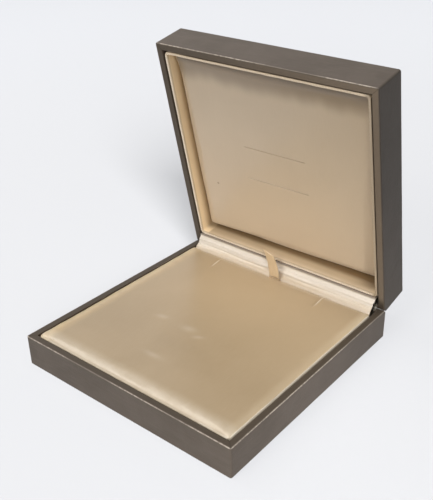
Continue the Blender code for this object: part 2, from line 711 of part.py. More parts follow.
def collar_rings(card, satin, lid):
    """The lid's collar: a card strip bent round the inside, with satin rolled over its edge."""
    def ring(points):
        loops = []
        for inset, z in points:
            half_x = HALF_WIDTH - COLLAR_INSET - inset
            front = -(HALF_DEPTH - COLLAR_INSET - inset)
            rear = HALF_DEPTH - COLLAR_REAR_INSET - inset
            radius = COLLAR_CORNER_RADIUS - inset
            rounded = outline(half_x, front, rear, radius, COLLAR_CORNER_STEPS)
            loops.append([(x, y, z) for x, y in rounded])
        return body_of_loops(loops, ring=True)

    edge = LID_HEIGHT - COLLAR_EDGE_DROP
    step = SATIN + SATIN_GAP
    card_out, card_in = step, step + COLLAR_CARD
    full = 2 * step + COLLAR_CARD
    low = LID_BOARD_TOP + GLUE
    roll = full / 2
    add_object("lid_collar_card", ring([
        (card_out, low), (card_out, edge - roll), (card_in, edge - roll), (card_in, low),
    ]), card, *lid)
    soft = roll * (1 - math.sqrt(0.5))
    add_object("lid_collar_satin", ring([
        (0.0, edge - COLLAR_OUTER_LEG),
        (0.0, edge - roll),
        (soft, edge - soft),
        (roll, edge),
        (full - soft, edge - soft),
        (full, edge - roll),
        (full, edge - COLLAR_INNER_LEG),
        (full - SATIN, edge - COLLAR_INNER_LEG),
        (full - SATIN, edge - roll),
        (roll, edge - SATIN),
        (SATIN, edge - roll),
        (SATIN, edge - COLLAR_OUTER_LEG),
    ]), satin, *lid)
    return full


def gusset(material):
    """The satin strip over the hinge: up behind the cushion, in soft folds to the collar, and behind it."""
    base_low = Vector((GUSSET_Y, BASE_HEIGHT - GUSSET_BASE_DROP))
    base_top = Vector((GUSSET_Y, BASE_HEIGHT - GUSSET_BASE_TOP_DROP))
    lid_y = HALF_DEPTH - COLLAR_REAR_INSET + GUSSET_COLLAR_GAP + GUSSET_THICKNESS / 2
    lid_top = Vector(opened(lid_y, LID_HEIGHT - GUSSET_LID_TOP_DROP))
    lid_low = Vector(opened(lid_y, LID_HEIGHT - GUSSET_LID_DROP))
    chord = lid_top - base_top
    normal = Vector((-chord.y, chord.x)).normalized()
    rows = []
    for station in range(GUSSET_STATIONS):
        across = station / (GUSSET_STATIONS - 1)
        shift = GUSSET_WANDER * math.sin(math.pi * (2 * across - 0.5))
        depth = GUSSET_FOLD_DEPTH * (1 - GUSSET_FOLD_VARIATION * math.cos(2 * math.pi * across))
        line = [base_low, base_top]
        for step in range(1, GUSSET_STEPS):
            t = step / GUSSET_STEPS
            held = math.sin(math.pi * t)
            fold = depth * held * math.sin(2 * math.pi * GUSSET_FOLDS * (t + shift * held / GUSSET_FOLDS))
            belly = -GUSSET_BELLY * held
            line.append(base_top + chord * t + normal * (fold + belly))
        line += [lid_top, lid_low]
        x = -GUSSET_HALF_WIDTH + 2 * GUSSET_HALF_WIDTH * across
        sides = ([], [])
        for index, point in enumerate(line):
            before, after = line[max(index - 1, 0)], line[min(index + 1, len(line) - 1)]
            run = (after - before).normalized()
            offset = Vector((-run.y, run.x)) * GUSSET_THICKNESS / 2
            sides[0].append(point + offset)
            sides[1].append(point - offset)
        rows.append([(x, *spot) for spot in sides[0] + sides[1][::-1]])
    bm = bmesh.new()
    verts = [[bm.verts.new(point) for point in row] for row in rows]
    count = len(verts[0])
    for lower, upper in zip(verts, verts[1:]):
        for i in range(count):
            j = (i + 1) % count
            bm.faces.new((lower[i], lower[j], upper[j], upper[i]))
    for row in (verts[0], verts[-1]):
        for i in range(count // 2 - 1):
            bm.faces.new((row[i], row[i + 1], row[count - 2 - i], row[count - 1 - i]))
    add_object("hinge_gusset", bm, material, smooth=True)


def build():
    clear_scene()
    leatherette = finish_material("leatherette", LEATHERETTE_COLOUR, 0.55)
    satin = finish_material("satin", SATIN_COLOUR, 0.35)
    ribbon = finish_material("ribbon", RIBBON_COLOUR, 0.4)
    gusset_satin = finish_material("gusset_satin", GUSSET_COLOUR, 0.4)
    wood = finish_material("board", BOARD_COLOUR, 0.85)
    card = finish_material("card", CARD_COLOUR, 0.85)
    foam = finish_material("foam", FOAM_COLOUR, 0.95)
    liner = finish_material("liner", LINER_COLOUR, 0.95)
    steel = finish_material("steel", STEEL_COLOUR, 0.3, 1.0)
    brass = finish_material("brass", BRASS_COLOUR, 0.3, 1.0)

    lid_pivot = bpy.data.objects.new("lid_pivot", None)
    bpy.context.scene.collection.objects.link(lid_pivot)
    lid_pivot.location = (0, PIVOT_Y, PIVOT_Z)
    lid_pivot.rotation_euler = (-REST_OPENING, 0, 0)
    lid_reach = LID_HEIGHT + SEAM_GAP / 2
    turned_over = Matrix.Translation((0, -PIVOT_Y, lid_reach)) @ Matrix.Rotation(math.pi, 4, "Y")
    lid = (lid_pivot, turned_over)

    # Base
    base_skin = base_covering(leatherette)
    base_boards = wall_boards("base", BASE_HEIGHT, FLOOR_BOTTOM, wood)
    inner = COVERING + GLUE + WALL_BOARD + MITRE_GAP
    floor_x, floor_y = HALF_WIDTH - inner, HALF_DEPTH - inner
    add_object("base_floor_board", box((-floor_x, -floor_y, FLOOR_BOTTOM), (floor_x, floor_y, FLOOR_TOP)), wood)
    liner_x, liner_y = HALF_WIDTH - TURN_IN - LINING_GAP, HALF_DEPTH - TURN_IN - LINING_GAP
    add_object("base_underside_liner", plate(
        liner_x, -liner_y, liner_y, CORNER_RADIUS, 0.0, LINER_THICKNESS), liner)
    lining_x, lining_y = HALF_WIDTH - RIM_WIDTH - LINING_GAP, HALF_DEPTH - RIM_WIDTH - LINING_GAP
    add_object("base_floor_lining", plate(
        lining_x, -lining_y, lining_y, CORNER_RADIUS, LINING_BOTTOM, LINING_TOP), satin)
    cushion_rests(card)
    shape = (CUSHION_HALF_X, CUSHION_FRONT, CUSHION_REAR, CUSHION_CORNER_RADIUS)
    cushion = padded(
        "cushion", "cushion_satin_cover", shape, CUSHION_BOTTOM, CUSHION_TOP_EDGE, CUSHION_ROLL_WIDTH,
        CUSHION_ROLL_HEIGHT, CUSHION_CROWN, CUSHION_DRAWN_IN, (satin, foam, card),
    )
    slits = slit_cutter()
    for piece in cushion:
        boolean(piece, slits)
    pull_ribbon(ribbon)

    # Lid
    lid_skin = lid_covering(leatherette, lid)
    lid_boards = wall_boards("lid", LID_HEIGHT, LID_BOARD_BOTTOM, wood, *lid)
    add_object("lid_top_board", box(
        (-floor_x, -floor_y, LID_BOARD_BOTTOM), (floor_x, floor_y, LID_BOARD_TOP)), wood, *lid)
    collar = collar_rings(card, satin, lid)
    panel_shape = (
        HALF_WIDTH - COLLAR_INSET - collar - PANEL_GAP,
        -(HALF_DEPTH - COLLAR_INSET - collar - PANEL_GAP),
        HALF_DEPTH - COLLAR_REAR_INSET - collar - PANEL_GAP,
        PANEL_CORNER_RADIUS,
    )
    padded(
        "lid_panel", "lid_panel_satin", panel_shape, LID_BOARD_TOP + GLUE, LID_HEIGHT - PANEL_EDGE_DEPTH,
        PANEL_ROLL_WIDTH, PANEL_ROLL_HEIGHT, PANEL_CROWN, PANEL_DRAWN_IN, (satin, foam, card), *lid,
    )

    # Hinge
    base_leaf = hinge_leaf("hinge_leaf_base", BASE_HEIGHT, 0, steel)
    lid_leaf = hinge_leaf("hinge_leaf_lid", LID_HEIGHT, 1, steel, *lid)
    base_drill = drill_cutter("base_drill", BASE_HEIGHT)
    lid_drill = drill_cutter("lid_drill", LID_HEIGHT, *lid)
    base_rebate = rebate_cutter("base_rebate", BASE_HEIGHT)
    lid_rebate = rebate_cutter("lid_rebate", LID_HEIGHT, *lid)
    for piece in (base_skin, base_boards["rear"]):
        boolean(piece, base_rebate)
    for piece in (lid_skin, lid_boards["rear"]):
        boolean(piece, lid_rebate)
    for piece in (base_skin, base_boards["rear"], base_leaf):
        boolean(piece, base_drill)
    for piece in (lid_skin, lid_boards["rear"], lid_leaf):
        boolean(piece, lid_drill)
    add_object("hinge_pin", barrel(PIN_RADIUS, LEAF_HALF_LENGTH - PIN_END_INSET, PIVOT_Z), steel, smooth=True)
    tacks("hinge_tack_base", BASE_HEIGHT, brass)
    tacks("hinge_tack_lid", LID_HEIGHT, brass, *lid)
    hinge_springs(steel)
    gusset(gusset_satin)


build()
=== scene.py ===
import json
from math import atan2, copysign, cos, exp, pi, radians, sin, sqrt

import bmesh
import bpy
from bmesh.types import BMEdge, BMVert
from mathutils import Matrix, Vector, noise
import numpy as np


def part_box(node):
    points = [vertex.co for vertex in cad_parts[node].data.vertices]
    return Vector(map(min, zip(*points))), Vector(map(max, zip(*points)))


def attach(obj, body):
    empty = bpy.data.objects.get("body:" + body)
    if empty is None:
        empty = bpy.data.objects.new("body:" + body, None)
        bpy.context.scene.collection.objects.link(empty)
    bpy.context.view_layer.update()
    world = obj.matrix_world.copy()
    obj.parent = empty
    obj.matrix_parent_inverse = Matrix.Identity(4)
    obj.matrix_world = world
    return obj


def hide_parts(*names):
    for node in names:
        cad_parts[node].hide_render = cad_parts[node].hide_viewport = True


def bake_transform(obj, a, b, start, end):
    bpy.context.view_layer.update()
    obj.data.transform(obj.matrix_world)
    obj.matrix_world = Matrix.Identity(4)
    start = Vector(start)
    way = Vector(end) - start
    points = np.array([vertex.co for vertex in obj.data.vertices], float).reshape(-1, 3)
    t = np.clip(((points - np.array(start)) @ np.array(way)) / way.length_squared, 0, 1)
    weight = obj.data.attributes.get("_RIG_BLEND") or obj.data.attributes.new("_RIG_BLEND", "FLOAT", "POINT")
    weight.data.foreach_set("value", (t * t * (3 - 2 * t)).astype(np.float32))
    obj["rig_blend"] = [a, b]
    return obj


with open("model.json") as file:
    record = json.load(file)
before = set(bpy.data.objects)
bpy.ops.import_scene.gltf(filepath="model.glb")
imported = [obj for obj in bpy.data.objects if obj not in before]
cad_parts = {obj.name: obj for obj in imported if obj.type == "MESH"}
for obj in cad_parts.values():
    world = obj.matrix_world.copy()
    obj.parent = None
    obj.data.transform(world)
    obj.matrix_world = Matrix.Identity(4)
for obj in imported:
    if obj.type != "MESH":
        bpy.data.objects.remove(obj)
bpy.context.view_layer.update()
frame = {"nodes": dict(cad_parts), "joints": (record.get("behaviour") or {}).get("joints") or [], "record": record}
mm = 0.001


def inMm(**sizes):
    # Sizes that are written in millimetres and kept in metres
    return {name: tuple(part * mm for part in size) if isinstance(size, tuple) else size * mm
            for name, size in sizes.items()}


def clamp(value, low=0.0):
    return min(1.0, max(low, value))


def bell(distance, reach):  # 1 in the middle, fading on both sides
    return exp(-(distance / reach) ** 2)


def ripple(x, y, z):
    return noise.noise(Vector((x, y, z)))


def jointOf(name):
    return next(joint for joint in frame["joints"] if joint["name"] == name)


# The case's own sizes, read from the frame. "tray" below means a shell with its open side up, so the lid is
# made as a tray too, and lidPlace turns it over and opens it.
pivot = Vector(jointOf("lid_hinge")["pos_m"])
opening = radians(-jointOf("lid_hinge")["range_deg"][0])
baseLow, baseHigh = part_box("base_leatherette")
halfX, halfY, baseHeight = baseHigh.x, baseHigh.y, baseHigh.z
shut = Matrix.Rotation(opening, 4, "X")
lidReach = max((shut @ (v.co - pivot)).z for v in frame["nodes"]["lid_leatherette"].data.vertices)
lidHeight = lidReach - (pivot.z - baseHeight)
lidPlace = (
    Matrix.Translation(pivot) @ Matrix.Rotation(-opening, 4, "X")
    @ Matrix.Translation((0, -pivot.y, lidReach)) @ Matrix.Rotation(pi, 4, "Y")
)
cushionInset, cushionRearInset = 5.7 * mm, 12.8 * mm
cushionHalf, cushionFront = halfX - cushionInset, -(halfY - cushionInset)
cushionRear = halfY - cushionRearInset
print("frame read: base", round(baseHeight / mm, 2), "mm, lid", round(lidHeight / mm, 2), "mm")

case = inMm(rim=5.5, fold=0.6, corner=1.6, skin=0.6, chamfer=2.66, floor=5, turnIn=12.0, turnOver=16.0,
            rebate=1.25, rebateEnd=6.5, mitre=0.16, mitreDepth=0.14, step=9, waver=0.07)


# Shader sockets as Python values
class Wire:
    def __init__(self, shade, socket):
        self.shade, self.socket = shade, socket

    def __add__(self, other):
        return self.shade.calc("ADD", self, other)

    def __mul__(self, other):
        return self.shade.calc("MULTIPLY", self, other)

    def __sub__(self, other):
        return self.shade.calc("SUBTRACT", self, other)

    def __rsub__(self, other):
        return self.shade.calc("SUBTRACT", other, self)

    def __abs__(self):
        return self.shade.calc("ABSOLUTE", self)

    __radd__, __rmul__ = __add__, __mul__

    def band(self, low, high):  # 0 below low, 1 above high, smooth between
        return self.shade.node("ShaderNodeMapRange", {"interpolation_type": "SMOOTHSTEP"}, {
            "Value": self, "From Min": low, "From Max": high})


class Shade:  # the nodes of a material or of the world
    def __init__(self, owner):
        owner.use_nodes = True
        self.nodes, self.links = owner.node_tree.nodes, owner.node_tree.links

    def node(self, kind, settings=None, values=None, out=0):
        made = self.nodes.new(kind)
        for key, value in (settings or {}).items():
            setattr(made, key, value)
        for key, value in (values or {}).items():
            if isinstance(value, Wire):
                self.links.new(value.socket, made.inputs[key])
            else:
                made.inputs[key].default_value = value
        return Wire(self, made.outputs[out])

    def calc(self, operation, *values, **settings):
        return self.node("ShaderNodeMath", dict(settings, operation=operation), dict(enumerate(values)))

    def vector(self, operation, values, out="Vector"):
        return self.node("ShaderNodeVectorMath", {"operation": operation}, values, out)

    def place(self):  # the point on the piece, in millimetres
        return self.vector("SCALE", {0: self.node("ShaderNodeTexCoord", out="Object"), "Scale": 1000.0})

    def kept(self, name):  # a point that the mesh keeps, in millimetres
        spot = self.node("ShaderNodeAttribute", {"attribute_name": name}, out="Vector")
        return self.vector("SCALE", {0: spot, "Scale": 1000.0})

    def amount(self, name):  # a number that the mesh keeps
        return self.node("ShaderNodeAttribute", {"attribute_name": name}, out="Fac")

    def stretch(self, place, x, y, z):
        return self.vector("MULTIPLY", {0: place, 1: (x, y, z)})

    def split(self, place):
        return [self.node("ShaderNodeSeparateXYZ", None, {0: place}, out=axis) for axis in "XYZ"]

    def noise(self, place, scale, detail=3.0, roughness=0.55, distortion=0.0):
        return self.node("ShaderNodeTexNoise", None, {
            "Vector": place, "Scale": scale, "Detail": detail, "Roughness": roughness,
            "Distortion": distortion})

    def cells(self, place, scale):
        return self.node("ShaderNodeTexVoronoi", None, {"Vector": place, "Scale": scale})

    def mix(self, factor, first, second):
        return self.node("ShaderNodeMix", {"data_type": "RGBA"}, {0: factor, 6: first, 7: second}, out=2)

    def bump(self, height, distance, strength, **under):
        return self.node("ShaderNodeBump", None, {
            "Height": height, "Distance": distance, "Strength": strength, **under})

    def cameraOrGloss(self):
        # 1 for what the camera, a reflection or clear material sees, 0 for what only lights the object
        camera, gloss, clear = (self.node("ShaderNodeLightPath", out=ray) for ray in (
            "Is Camera Ray", "Is Glossy Ray", "Is Transmission Ray"))
        return self.calc("ADD", self.calc("ADD", camera, gloss, use_clamp=True), clear, use_clamp=True)

    def show(self, wire):
        output = next(node for node in self.nodes if node.type.startswith("OUTPUT"))
        self.links.new(wire.socket, output.inputs["Surface"])


class Finish(Shade):
    def __init__(self, name, **plain):
        self.material = bpy.data.materials.new(name)
        super().__init__(self.material)
        self.shader = self.nodes["Principled BSDF"]
        for socket, value in plain.items():
            self.shader.inputs[socket.replace("_", " ")].default_value = value

    def feed(self, **wires):
        for socket, wire in wires.items():
            self.links.new(wire.socket, self.shader.inputs[socket.replace("_", " ")])
        return self.material


# Finishes. The places that their marks are given by are millimetres from the middle of the piece's tray.
leatherette = dict(
    tone=(0.116, 0.093, 0.075, 1), dark=(0.093, 0.074, 0.058, 1), pale=(0.143, 0.117, 0.096, 1),
    rubbed=(0.62, 0.54, 0.45, 1), rimTone=(0.066, 0.050, 0.034, 1), rimLitRight=(0.190, 0.146, 0.103, 1),
    shaded=(0.042, 0.033, 0.025, 1), corner=(0.018, 0.012, 0.008, 1), mitre=(0.030, 0.022, 0.016, 1),
    grain=1.9, roughness=0.50, wellWear=0.45, cornerWear=0.15, footWear=0.35)


def leatheretteFinish(name, height, sideWearAndSheen, rimPale, rightWallShade):
    tones = leatherette
    shade = Finish(name, Roughness=tones["roughness"], Specular_IOR_Level=0.20)
    tray = shade.kept("tray")
    x, y, z = shade.split(tray)
    pebbles = shade.cells(tray, tones["grain"])
    crazing = shade.noise(tray, 1.1, 4.0, 0.6, 0.4)
    cloudy = shade.noise(tray, 0.035, 4.0, 0.6, 0.6)
    streaks = shade.noise(shade.stretch(tray, 0.05, 0.05, 0.7), 1.0, 3.0, 0.6)
    inX, inY, rimward = halfX / mm - abs(x), halfY / mm - abs(y), height / mm - z
    side, upright = shade.calc("MINIMUM", inX, inY), shade.calc("MAXIMUM", inX, inY)
    inner = abs(side - case["rim"] / mm)

    def fold(first, second, reach):
        return 1 - shade.calc("MAXIMUM", first, second).band(0.25, reach)

    # every fold shows wear in patches and carries a painted highlight along its round, the lid's left and right
    # sides less than the rest
    rubbingAndSheen = fold(side, rimward, 0.85) + fold(inner, rimward, 0.7) * tones["wellWear"]
    rubbingAndSheen = rubbingAndSheen + (1 - upright.band(0.7, 1.8)) * tones["cornerWear"]
    rubbingAndSheen = rubbingAndSheen + fold(side, z, 1.0) * tones["footWear"]
    rubbingAndSheen = rubbingAndSheen * (1 - (abs(x) - abs(y)).band(-2.0, 0.0) * (1 - sideWearAndSheen))
    patchy = shade.noise(tray, 0.45, 5.0, 0.7).band(0.30, 0.68)
    patchy = patchy * shade.noise(tray, 0.018, 2.0).band(0.38, 0.62)
    wearAndSheen = (rubbingAndSheen * (patchy * 0.65 + 0.35)).band(0.05, 1.0)
    tone = shade.mix(cloudy.band(0.30, 0.72), tones["dark"], tones["tone"])
    tone = shade.mix(streaks.band(0.42, 0.75) * 0.35, tone, tones["pale"])
    # painted shade darkens the lid's right wall, as seen open
    tone = shade.mix((1 - (x + halfX / mm).band(0.2, 0.8)) * rightWallShade, tone, tones["shaded"])
    # the rim is darker than the walls, and on the lid it is painted lighter towards the right as seen open, for
    # the light it catches there
    onRim = (1 - rimward.band(0.3, 0.8)) * side.band(0.7, 1.2)
    onRight = (1 - x.band(-110.0, 110.0)) * rimPale
    tone = shade.mix(onRim * 0.80, tone, shade.mix(onRight, tones["rimTone"], tones["rimLitRight"]))
    # painted shade darkens the lid's rim in its right corner by the hinge
    hingeCornerShade = y.band(halfY / mm - 15.0, halfY / mm - 6.0) * onRight
    tone = shade.mix(hingeCornerShade * onRim * 0.85, tone, tones["corner"])
    tone = shade.mix(pebbles.band(0.15, 0.75) * 0.22, tone, tones["dark"])
    tone = shade.mix(wearAndSheen * 0.75, tone, tones["rubbed"])
    diagonal = abs(abs(x) * (1 / halfX) * mm - abs(y) * (1 / halfY) * mm)
    tone = shade.mix((1 - diagonal.band(0.0008, 0.0030)) * onRim * 0.7, tone, tones["mitre"])
    grain = shade.bump(pebbles * -0.6 + crazing * 0.55, 0.00016, 0.55)
    return shade.feed(
        Base_Color=tone, Roughness=crazing * 0.14 + (tones["roughness"] - 0.07) + wearAndSheen * -0.08,
        Normal=shade.bump(cloudy, 0.0016, 0.30, Normal=grain))


satin = dict(body=(0.470, 0.350, 0.212), lit=(0.590, 0.475, 0.330), deep=(0.400, 0.290, 0.165),
             paleReflection=(0.560, 0.500, 0.430, 1), cream=(0.800, 0.745, 0.670, 1), gold=(0.640, 0.510, 0.345, 1),
             thread=4.4, warp=0.16, weft=0.14)


def satinFinish(name, tint, tray=False, paleReflection=0.0, cream=0.0, slub=1.0, roughness=0.29, marks=None):
    body, lit, deep = (
        tuple(channel * tint for channel in satin[key]) + (1,) for key in ("body", "lit", "deep"))
    shade = Finish(name, Roughness=roughness, Specular_IOR_Level=0.72, Sheen_Weight=0.25,
                   Sheen_Roughness=0.35, Sheen_Tint=(1.0, 0.93, 0.82, 1))
    at, thread = shade.kept("tray") if tray else shade.place(), satin["thread"]
    warp = shade.noise(shade.stretch(at, thread, 0.12, 0.12), 1.0, 2.0, 0.5)
    weft = shade.noise(shade.stretch(at, 0.10, thread, thread), 1.0, 2.0, 0.5)
    soft = shade.noise(at, 0.016, 3.0, 0.5, 0.8)
    flecks = shade.noise(shade.stretch(at, 0.35, 1.6, 1.6), 1.0, 3.0, 0.65)
    tone = shade.mix(soft.band(0.30, 0.72) * 0.5 + 0.5, deep, body)
    tone = shade.mix(warp.band(0.35, 0.75) * (satin["warp"] * slub), tone, lit)
    tone = shade.mix(weft.band(0.52, 0.78) * (satin["weft"] * slub), tone, deep)
    # painted reflection: a paler, greyer tone where the satin reflects its pale surroundings
    if paleReflection:
        tone = shade.mix(paleReflection, tone, satin["paleReflection"])
    if cream:
        tone = shade.mix(cream, tone, satin["cream"])
    if marks:
        tone = marks(shade, tone, shade.split(at))
    weave = shade.bump(warp * 0.5 + weft, 0.00005, 0.45)
    return shade.feed(
        Base_Color=tone, Roughness=flecks * 0.14 + (roughness - 0.07) + weft * 0.04,
        Normal=shade.bump(flecks, 0.0002, 0.25, Normal=weave))


# The plain finishes: the pattern, where it turns from dark to pale, and how deep and strong its bump is
plainFinishes = dict(
    fibreboard=dict(pattern=lambda shade, at: shade.noise(shade.stretch(at, 1.6, 0.5, 2.4), 1.0, 5.0, 0.7),
                    turns=(0.3, 0.7), dark=(0.30, 0.21, 0.125, 1), pale=(0.42, 0.31, 0.20, 1),
                    depth=0.2, strength=0.6, Roughness=0.85, Specular_IOR_Level=0.2),
    greyCard=dict(pattern=lambda shade, at: shade.noise(at, 1.4, 5.0, 0.7),
                  turns=(0.35, 0.7), dark=(0.33, 0.29, 0.235, 1), pale=(0.43, 0.39, 0.33, 1),
                  depth=0.1, strength=0.5, Roughness=0.9, Specular_IOR_Level=0.2),
    foam=dict(pattern=lambda shade, at: shade.cells(at, 1.5),
              turns=(0.1, 0.6), dark=(0.62, 0.58, 0.44, 1), pale=(0.80, 0.77, 0.66, 1),
              depth=0.3, strength=0.7, Roughness=0.95, Specular_IOR_Level=0.15),
    feltPaper=dict(pattern=lambda shade, at: shade.noise(at, 2.8, 5.0, 0.75),
                   turns=(0.3, 0.7), dark=(0.036, 0.030, 0.025, 1), pale=(0.075, 0.064, 0.054, 1),
                   depth=0.2, strength=0.8, cloud=(0.060, 0.052, 0.044, 1),
                   Roughness=0.95, Specular_IOR_Level=0.15, Sheen_Weight=0.25))


def plainFinish(name, pattern, turns, dark, pale, depth, strength, cloud=None, **plain):
    shade = Finish(name, **plain)
    at = shade.place()
    grain = pattern(shade, at)
    tone = shade.mix(grain.band(*turns), dark, pale)
    if cloud:
        tone = shade.mix(shade.noise(at, 0.05, 3.0, 0.5).band(0.35, 0.7) * 0.3, tone, cloud)
    return shade.feed(Base_Color=tone, Normal=shade.bump(grain, depth * mm, strength))


def metalFinish(name, tone, dull, roughness):
    shade = Finish(name, Metallic=1.0, Roughness=roughness)
    at = shade.place()
    brushed = shade.noise(shade.stretch(at, 0.2, 9.0, 9.0), 1.0, 3.0, 0.6)
    stains = shade.noise(at, 0.4, 4.0, 0.65)
    return shade.feed(
        Base_Color=shade.mix(stains.band(0.35, 0.75), tone, dull),
        Roughness=brushed * 0.16 + stains * 0.12 + (roughness - 0.12),
        Normal=shade.bump(brushed, 0.00003, 0.5))


baseSkin = leatheretteFinish("leatheretteBase", baseHeight, sideWearAndSheen=1.0, rimPale=0.0, rightWallShade=0.0)
lidSkin = leatheretteFinish("leatheretteLid", lidHeight, sideWearAndSheen=0.15, rimPale=1.0, rightWallShade=0.62)
liningSatin = satinFinish("liningSatin", 0.9)
fibreboard, greyCard, foam, feltPaper = (plainFinish(name, **made) for name, made in plainFinishes.items())
springSteel = metalFinish("springSteel", (0.62, 0.60, 0.56, 1), (0.46, 0.43, 0.38, 1), 0.30)
brassPlate = metalFinish("brassPlate", (0.72, 0.56, 0.28, 1), (0.50, 0.36, 0.17, 1), 0.28)
print("finishes made")


# Mesh helpers
def finishPiece(bm, name, material, place=None, recalc=True):
    # Keeps each point's place in its tray as an attribute, so that a finish lies the same way on base and lid
    if recalc:
        bmesh.ops.recalc_face_normals(bm, faces=bm.faces)
    mesh = bpy.data.meshes.new(name)
    bm.to_mesh(mesh)
    bm.free()
    mesh.materials.append(material)
    mesh.shade_smooth()
    piece = bpy.data.objects.new(name, mesh)
    bpy.context.scene.collection.objects.link(piece)
    keepTray(piece)
    if place is not None:
        mesh.transform(place)
    return piece


def keepTray(piece):
    known = piece.data.attributes.get("tray")
    tray = known or piece.data.attributes.new("tray", "FLOAT_VECTOR", "POINT")
    for vertex in piece.data.vertices:
        tray.data[vertex.index].vector = vertex.co


def settle(piece):
    # Applies the piece's modifiers to its mesh
    graph = bpy.context.evaluated_depsgraph_get()
    graph.update()
    baked = bpy.data.meshes.new_from_object(piece.evaluated_get(graph))
    piece.modifiers.clear()
    piece.data = baked


def addModifier(piece, kind, **settings):
    modifier = piece.modifiers.new(kind.lower(), kind)
    for key, value in settings.items():
        setattr(modifier, key, value)
    return modifier


def thicken(piece, thickness, offset=0):
    addModifier(piece, "SOLIDIFY", thickness=thickness, offset=offset)
    settle(piece)
    piece.data.shade_smooth()


def only(kind, geometry):
    return [item for item in geometry if isinstance(item, kind)]


def withEdges(faces):
    # The faces, their edges and their corners, each once and in the same order on every run
    edges = dict.fromkeys(edge for face in faces for edge in face.edges)
    corners = dict.fromkeys(vertex for face in faces for vertex in face.verts)
    return faces + list(edges) + list(corners)


def cutPlane(bm, point, normal, clear=False, geometry=None):
    geometry = geometry or bm.verts[:] + bm.edges[:] + bm.faces[:]
    cut = bmesh.ops.bisect_plane(
        bm, geom=geometry, plane_co=point, plane_no=normal, clear_outer=clear, dist=1e-7)
    return only(BMEdge, cut["geom_cut"])


def cutGrid(bm, axis, low, high, step):
    normal = Vector([float(index == axis) for index in range(3)])
    count = max(1, round((high - low) / step))
    for index in range(1, count):
        cutPlane(bm, normal * (low + (high - low) * index / count), normal)


def roundedBox(halfWide, front, rear, low, high, radius, segments):
    bm = bmesh.new()
    bmesh.ops.create_cube(bm, size=1)
    bmesh.ops.scale(bm, vec=(2 * halfWide, rear - front, high - low), verts=bm.verts)
    bmesh.ops.translate(bm, vec=(0, (front + rear) / 2, (low + high) / 2), verts=bm.verts)
    upright = [e for e in bm.edges if abs(e.verts[0].co.z - e.verts[1].co.z) > (high - low) / 2]
    bmesh.ops.bevel(bm, geom=upright, offset=radius, segments=segments, profile=0.5,
                    affect="EDGES", material=-1)
    return bm


# The leatherette shells
def openFace(bm, level, border):
    # Cuts a square out of the flat face at this level, border in from the case's sides
    def flat():
        return [f for f in bm.faces if abs(f.calc_center_median().z - level) < 1e-6]

    x, y = halfX - border, halfY - border
    for point, normal in (((x, 0, 0), (1, 0, 0)), ((-x, 0, 0), (1, 0, 0)), ((0, y, 0), (0, 1, 0)),
                          ((0, -y, 0), (0, 1, 0))):
        cutPlane(bm, point, normal, geometry=withEdges(flat()))
    middle = min(flat(), key=lambda face: face.calc_center_median().xy.length)
    edges = list(middle.edges)
    bmesh.ops.delete(bm, geom=[middle], context="FACES_ONLY")
    return edges


def cutRebate(bm, height):
    # The skin is cut away where the hinge leaf lies on the rear rim
    reach, level, start = halfX - case["rebateEnd"], height - case["rebate"], halfY - 1.5 * case["rim"]
    for point, normal in (((reach, 0, 0), (1, 0, 0)), ((-reach, 0, 0), (1, 0, 0)),
                          ((0, 0, level), (0, 0, 1))):
        near = [f for f in bm.faces if f.calc_center_median().y > start]
        cutPlane(bm, point, normal, geometry=withEdges(near))
    middles = [(face, face.calc_center_median()) for face in bm.faces]
    gone = [face for face, at in middles if at.y > start and abs(at.x) < reach and at.z > level]
    bmesh.ops.delete(bm, geom=gone, context="FACES")


def shellBody(name, height, low, innerBottom, opened, material, seed, place=None):
    fold = case["fold"]
    bm = roundedBox(halfX, -halfY, halfY, low, height, case["corner"], 5)
    chamferPoint = Vector((0, halfY - case["chamfer"], height))
    edges = cutPlane(bm, chamferPoint, Vector((0, 1, 1)).normalized(), clear=True)
    bmesh.ops.edgeloop_fill(bm, edges=edges)
    wellEdges = openFace(bm, height, case["rim"])
    for vertex in only(BMVert, bmesh.ops.extrude_edge_only(bm, edges=wellEdges)["geom"]):
        vertex.co.z = innerBottom
    if opened:
        openFace(bm, low, case["turnIn"])
    # every fold is turned over a small radius
    bmesh.ops.recalc_face_normals(bm, faces=bm.faces)
    sharp = [e for e in bm.edges if len(e.link_faces) == 2 and e.calc_face_angle(0) > radians(35)]
    bmesh.ops.bevel(bm, geom=sharp, offset=fold, segments=4, profile=0.5, affect="EDGES",
                    clamp_overlap=True, material=-1)
    bmesh.ops.remove_doubles(bm, verts=bm.verts, dist=1e-6)
    cutGrid(bm, 0, -halfX, halfX, case["step"])
    cutGrid(bm, 1, -halfY, halfY, case["step"])
    cutGrid(bm, 2, low, height, case["step"] / 1.5)
    # the seams of the mitred corners, as shallow grooves
    for offset in (-case["mitre"], 0.0, case["mitre"]):
        for across in (Vector((1, -1, 0)).normalized(), Vector((1, 1, 0)).normalized()):
            cutPlane(bm, across * offset, across)
    bm.normal_update()
    for vertex in bm.verts:
        vertex.co += vertex.normal * noise.noise(vertex.co * 38 + Vector((seed, 0, 0))) * case["waver"]
    for vertex in bm.verts:
        onMitre = abs(abs(vertex.co.x) - abs(vertex.co.y)) < 0.3 * case["mitre"]
        if onMitre and vertex.co.z > height - fold:
            vertex.co.z -= case["mitreDepth"]
    cutRebate(bm, height)
    piece = finishPiece(bm, name, material, recalc=False)
    addModifier(piece, "SOLIDIFY", thickness=case["skin"], offset=-1, use_even_offset=True)
    addModifier(piece, "WEIGHTED_NORMAL", mode="FACE_AREA", weight=80, keep_sharp=True)
    settle(piece)
    if place is not None:
        piece.data.transform(place)
    return piece


baseShell = shellBody(
    "baseLeatheretteShell", baseHeight, baseLow.z, baseLow.z + case["floor"], True, baseSkin, 3.1)
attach(baseShell, "base")
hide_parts("base_leatherette")
lidShell = shellBody(
    "lidLeatheretteShell", lidHeight, 0.0, lidHeight - case["turnOver"], False, lidSkin, 8.7, lidPlace)
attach(lidShell, "lid")
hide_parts("lid_leatherette")
print("shells made")


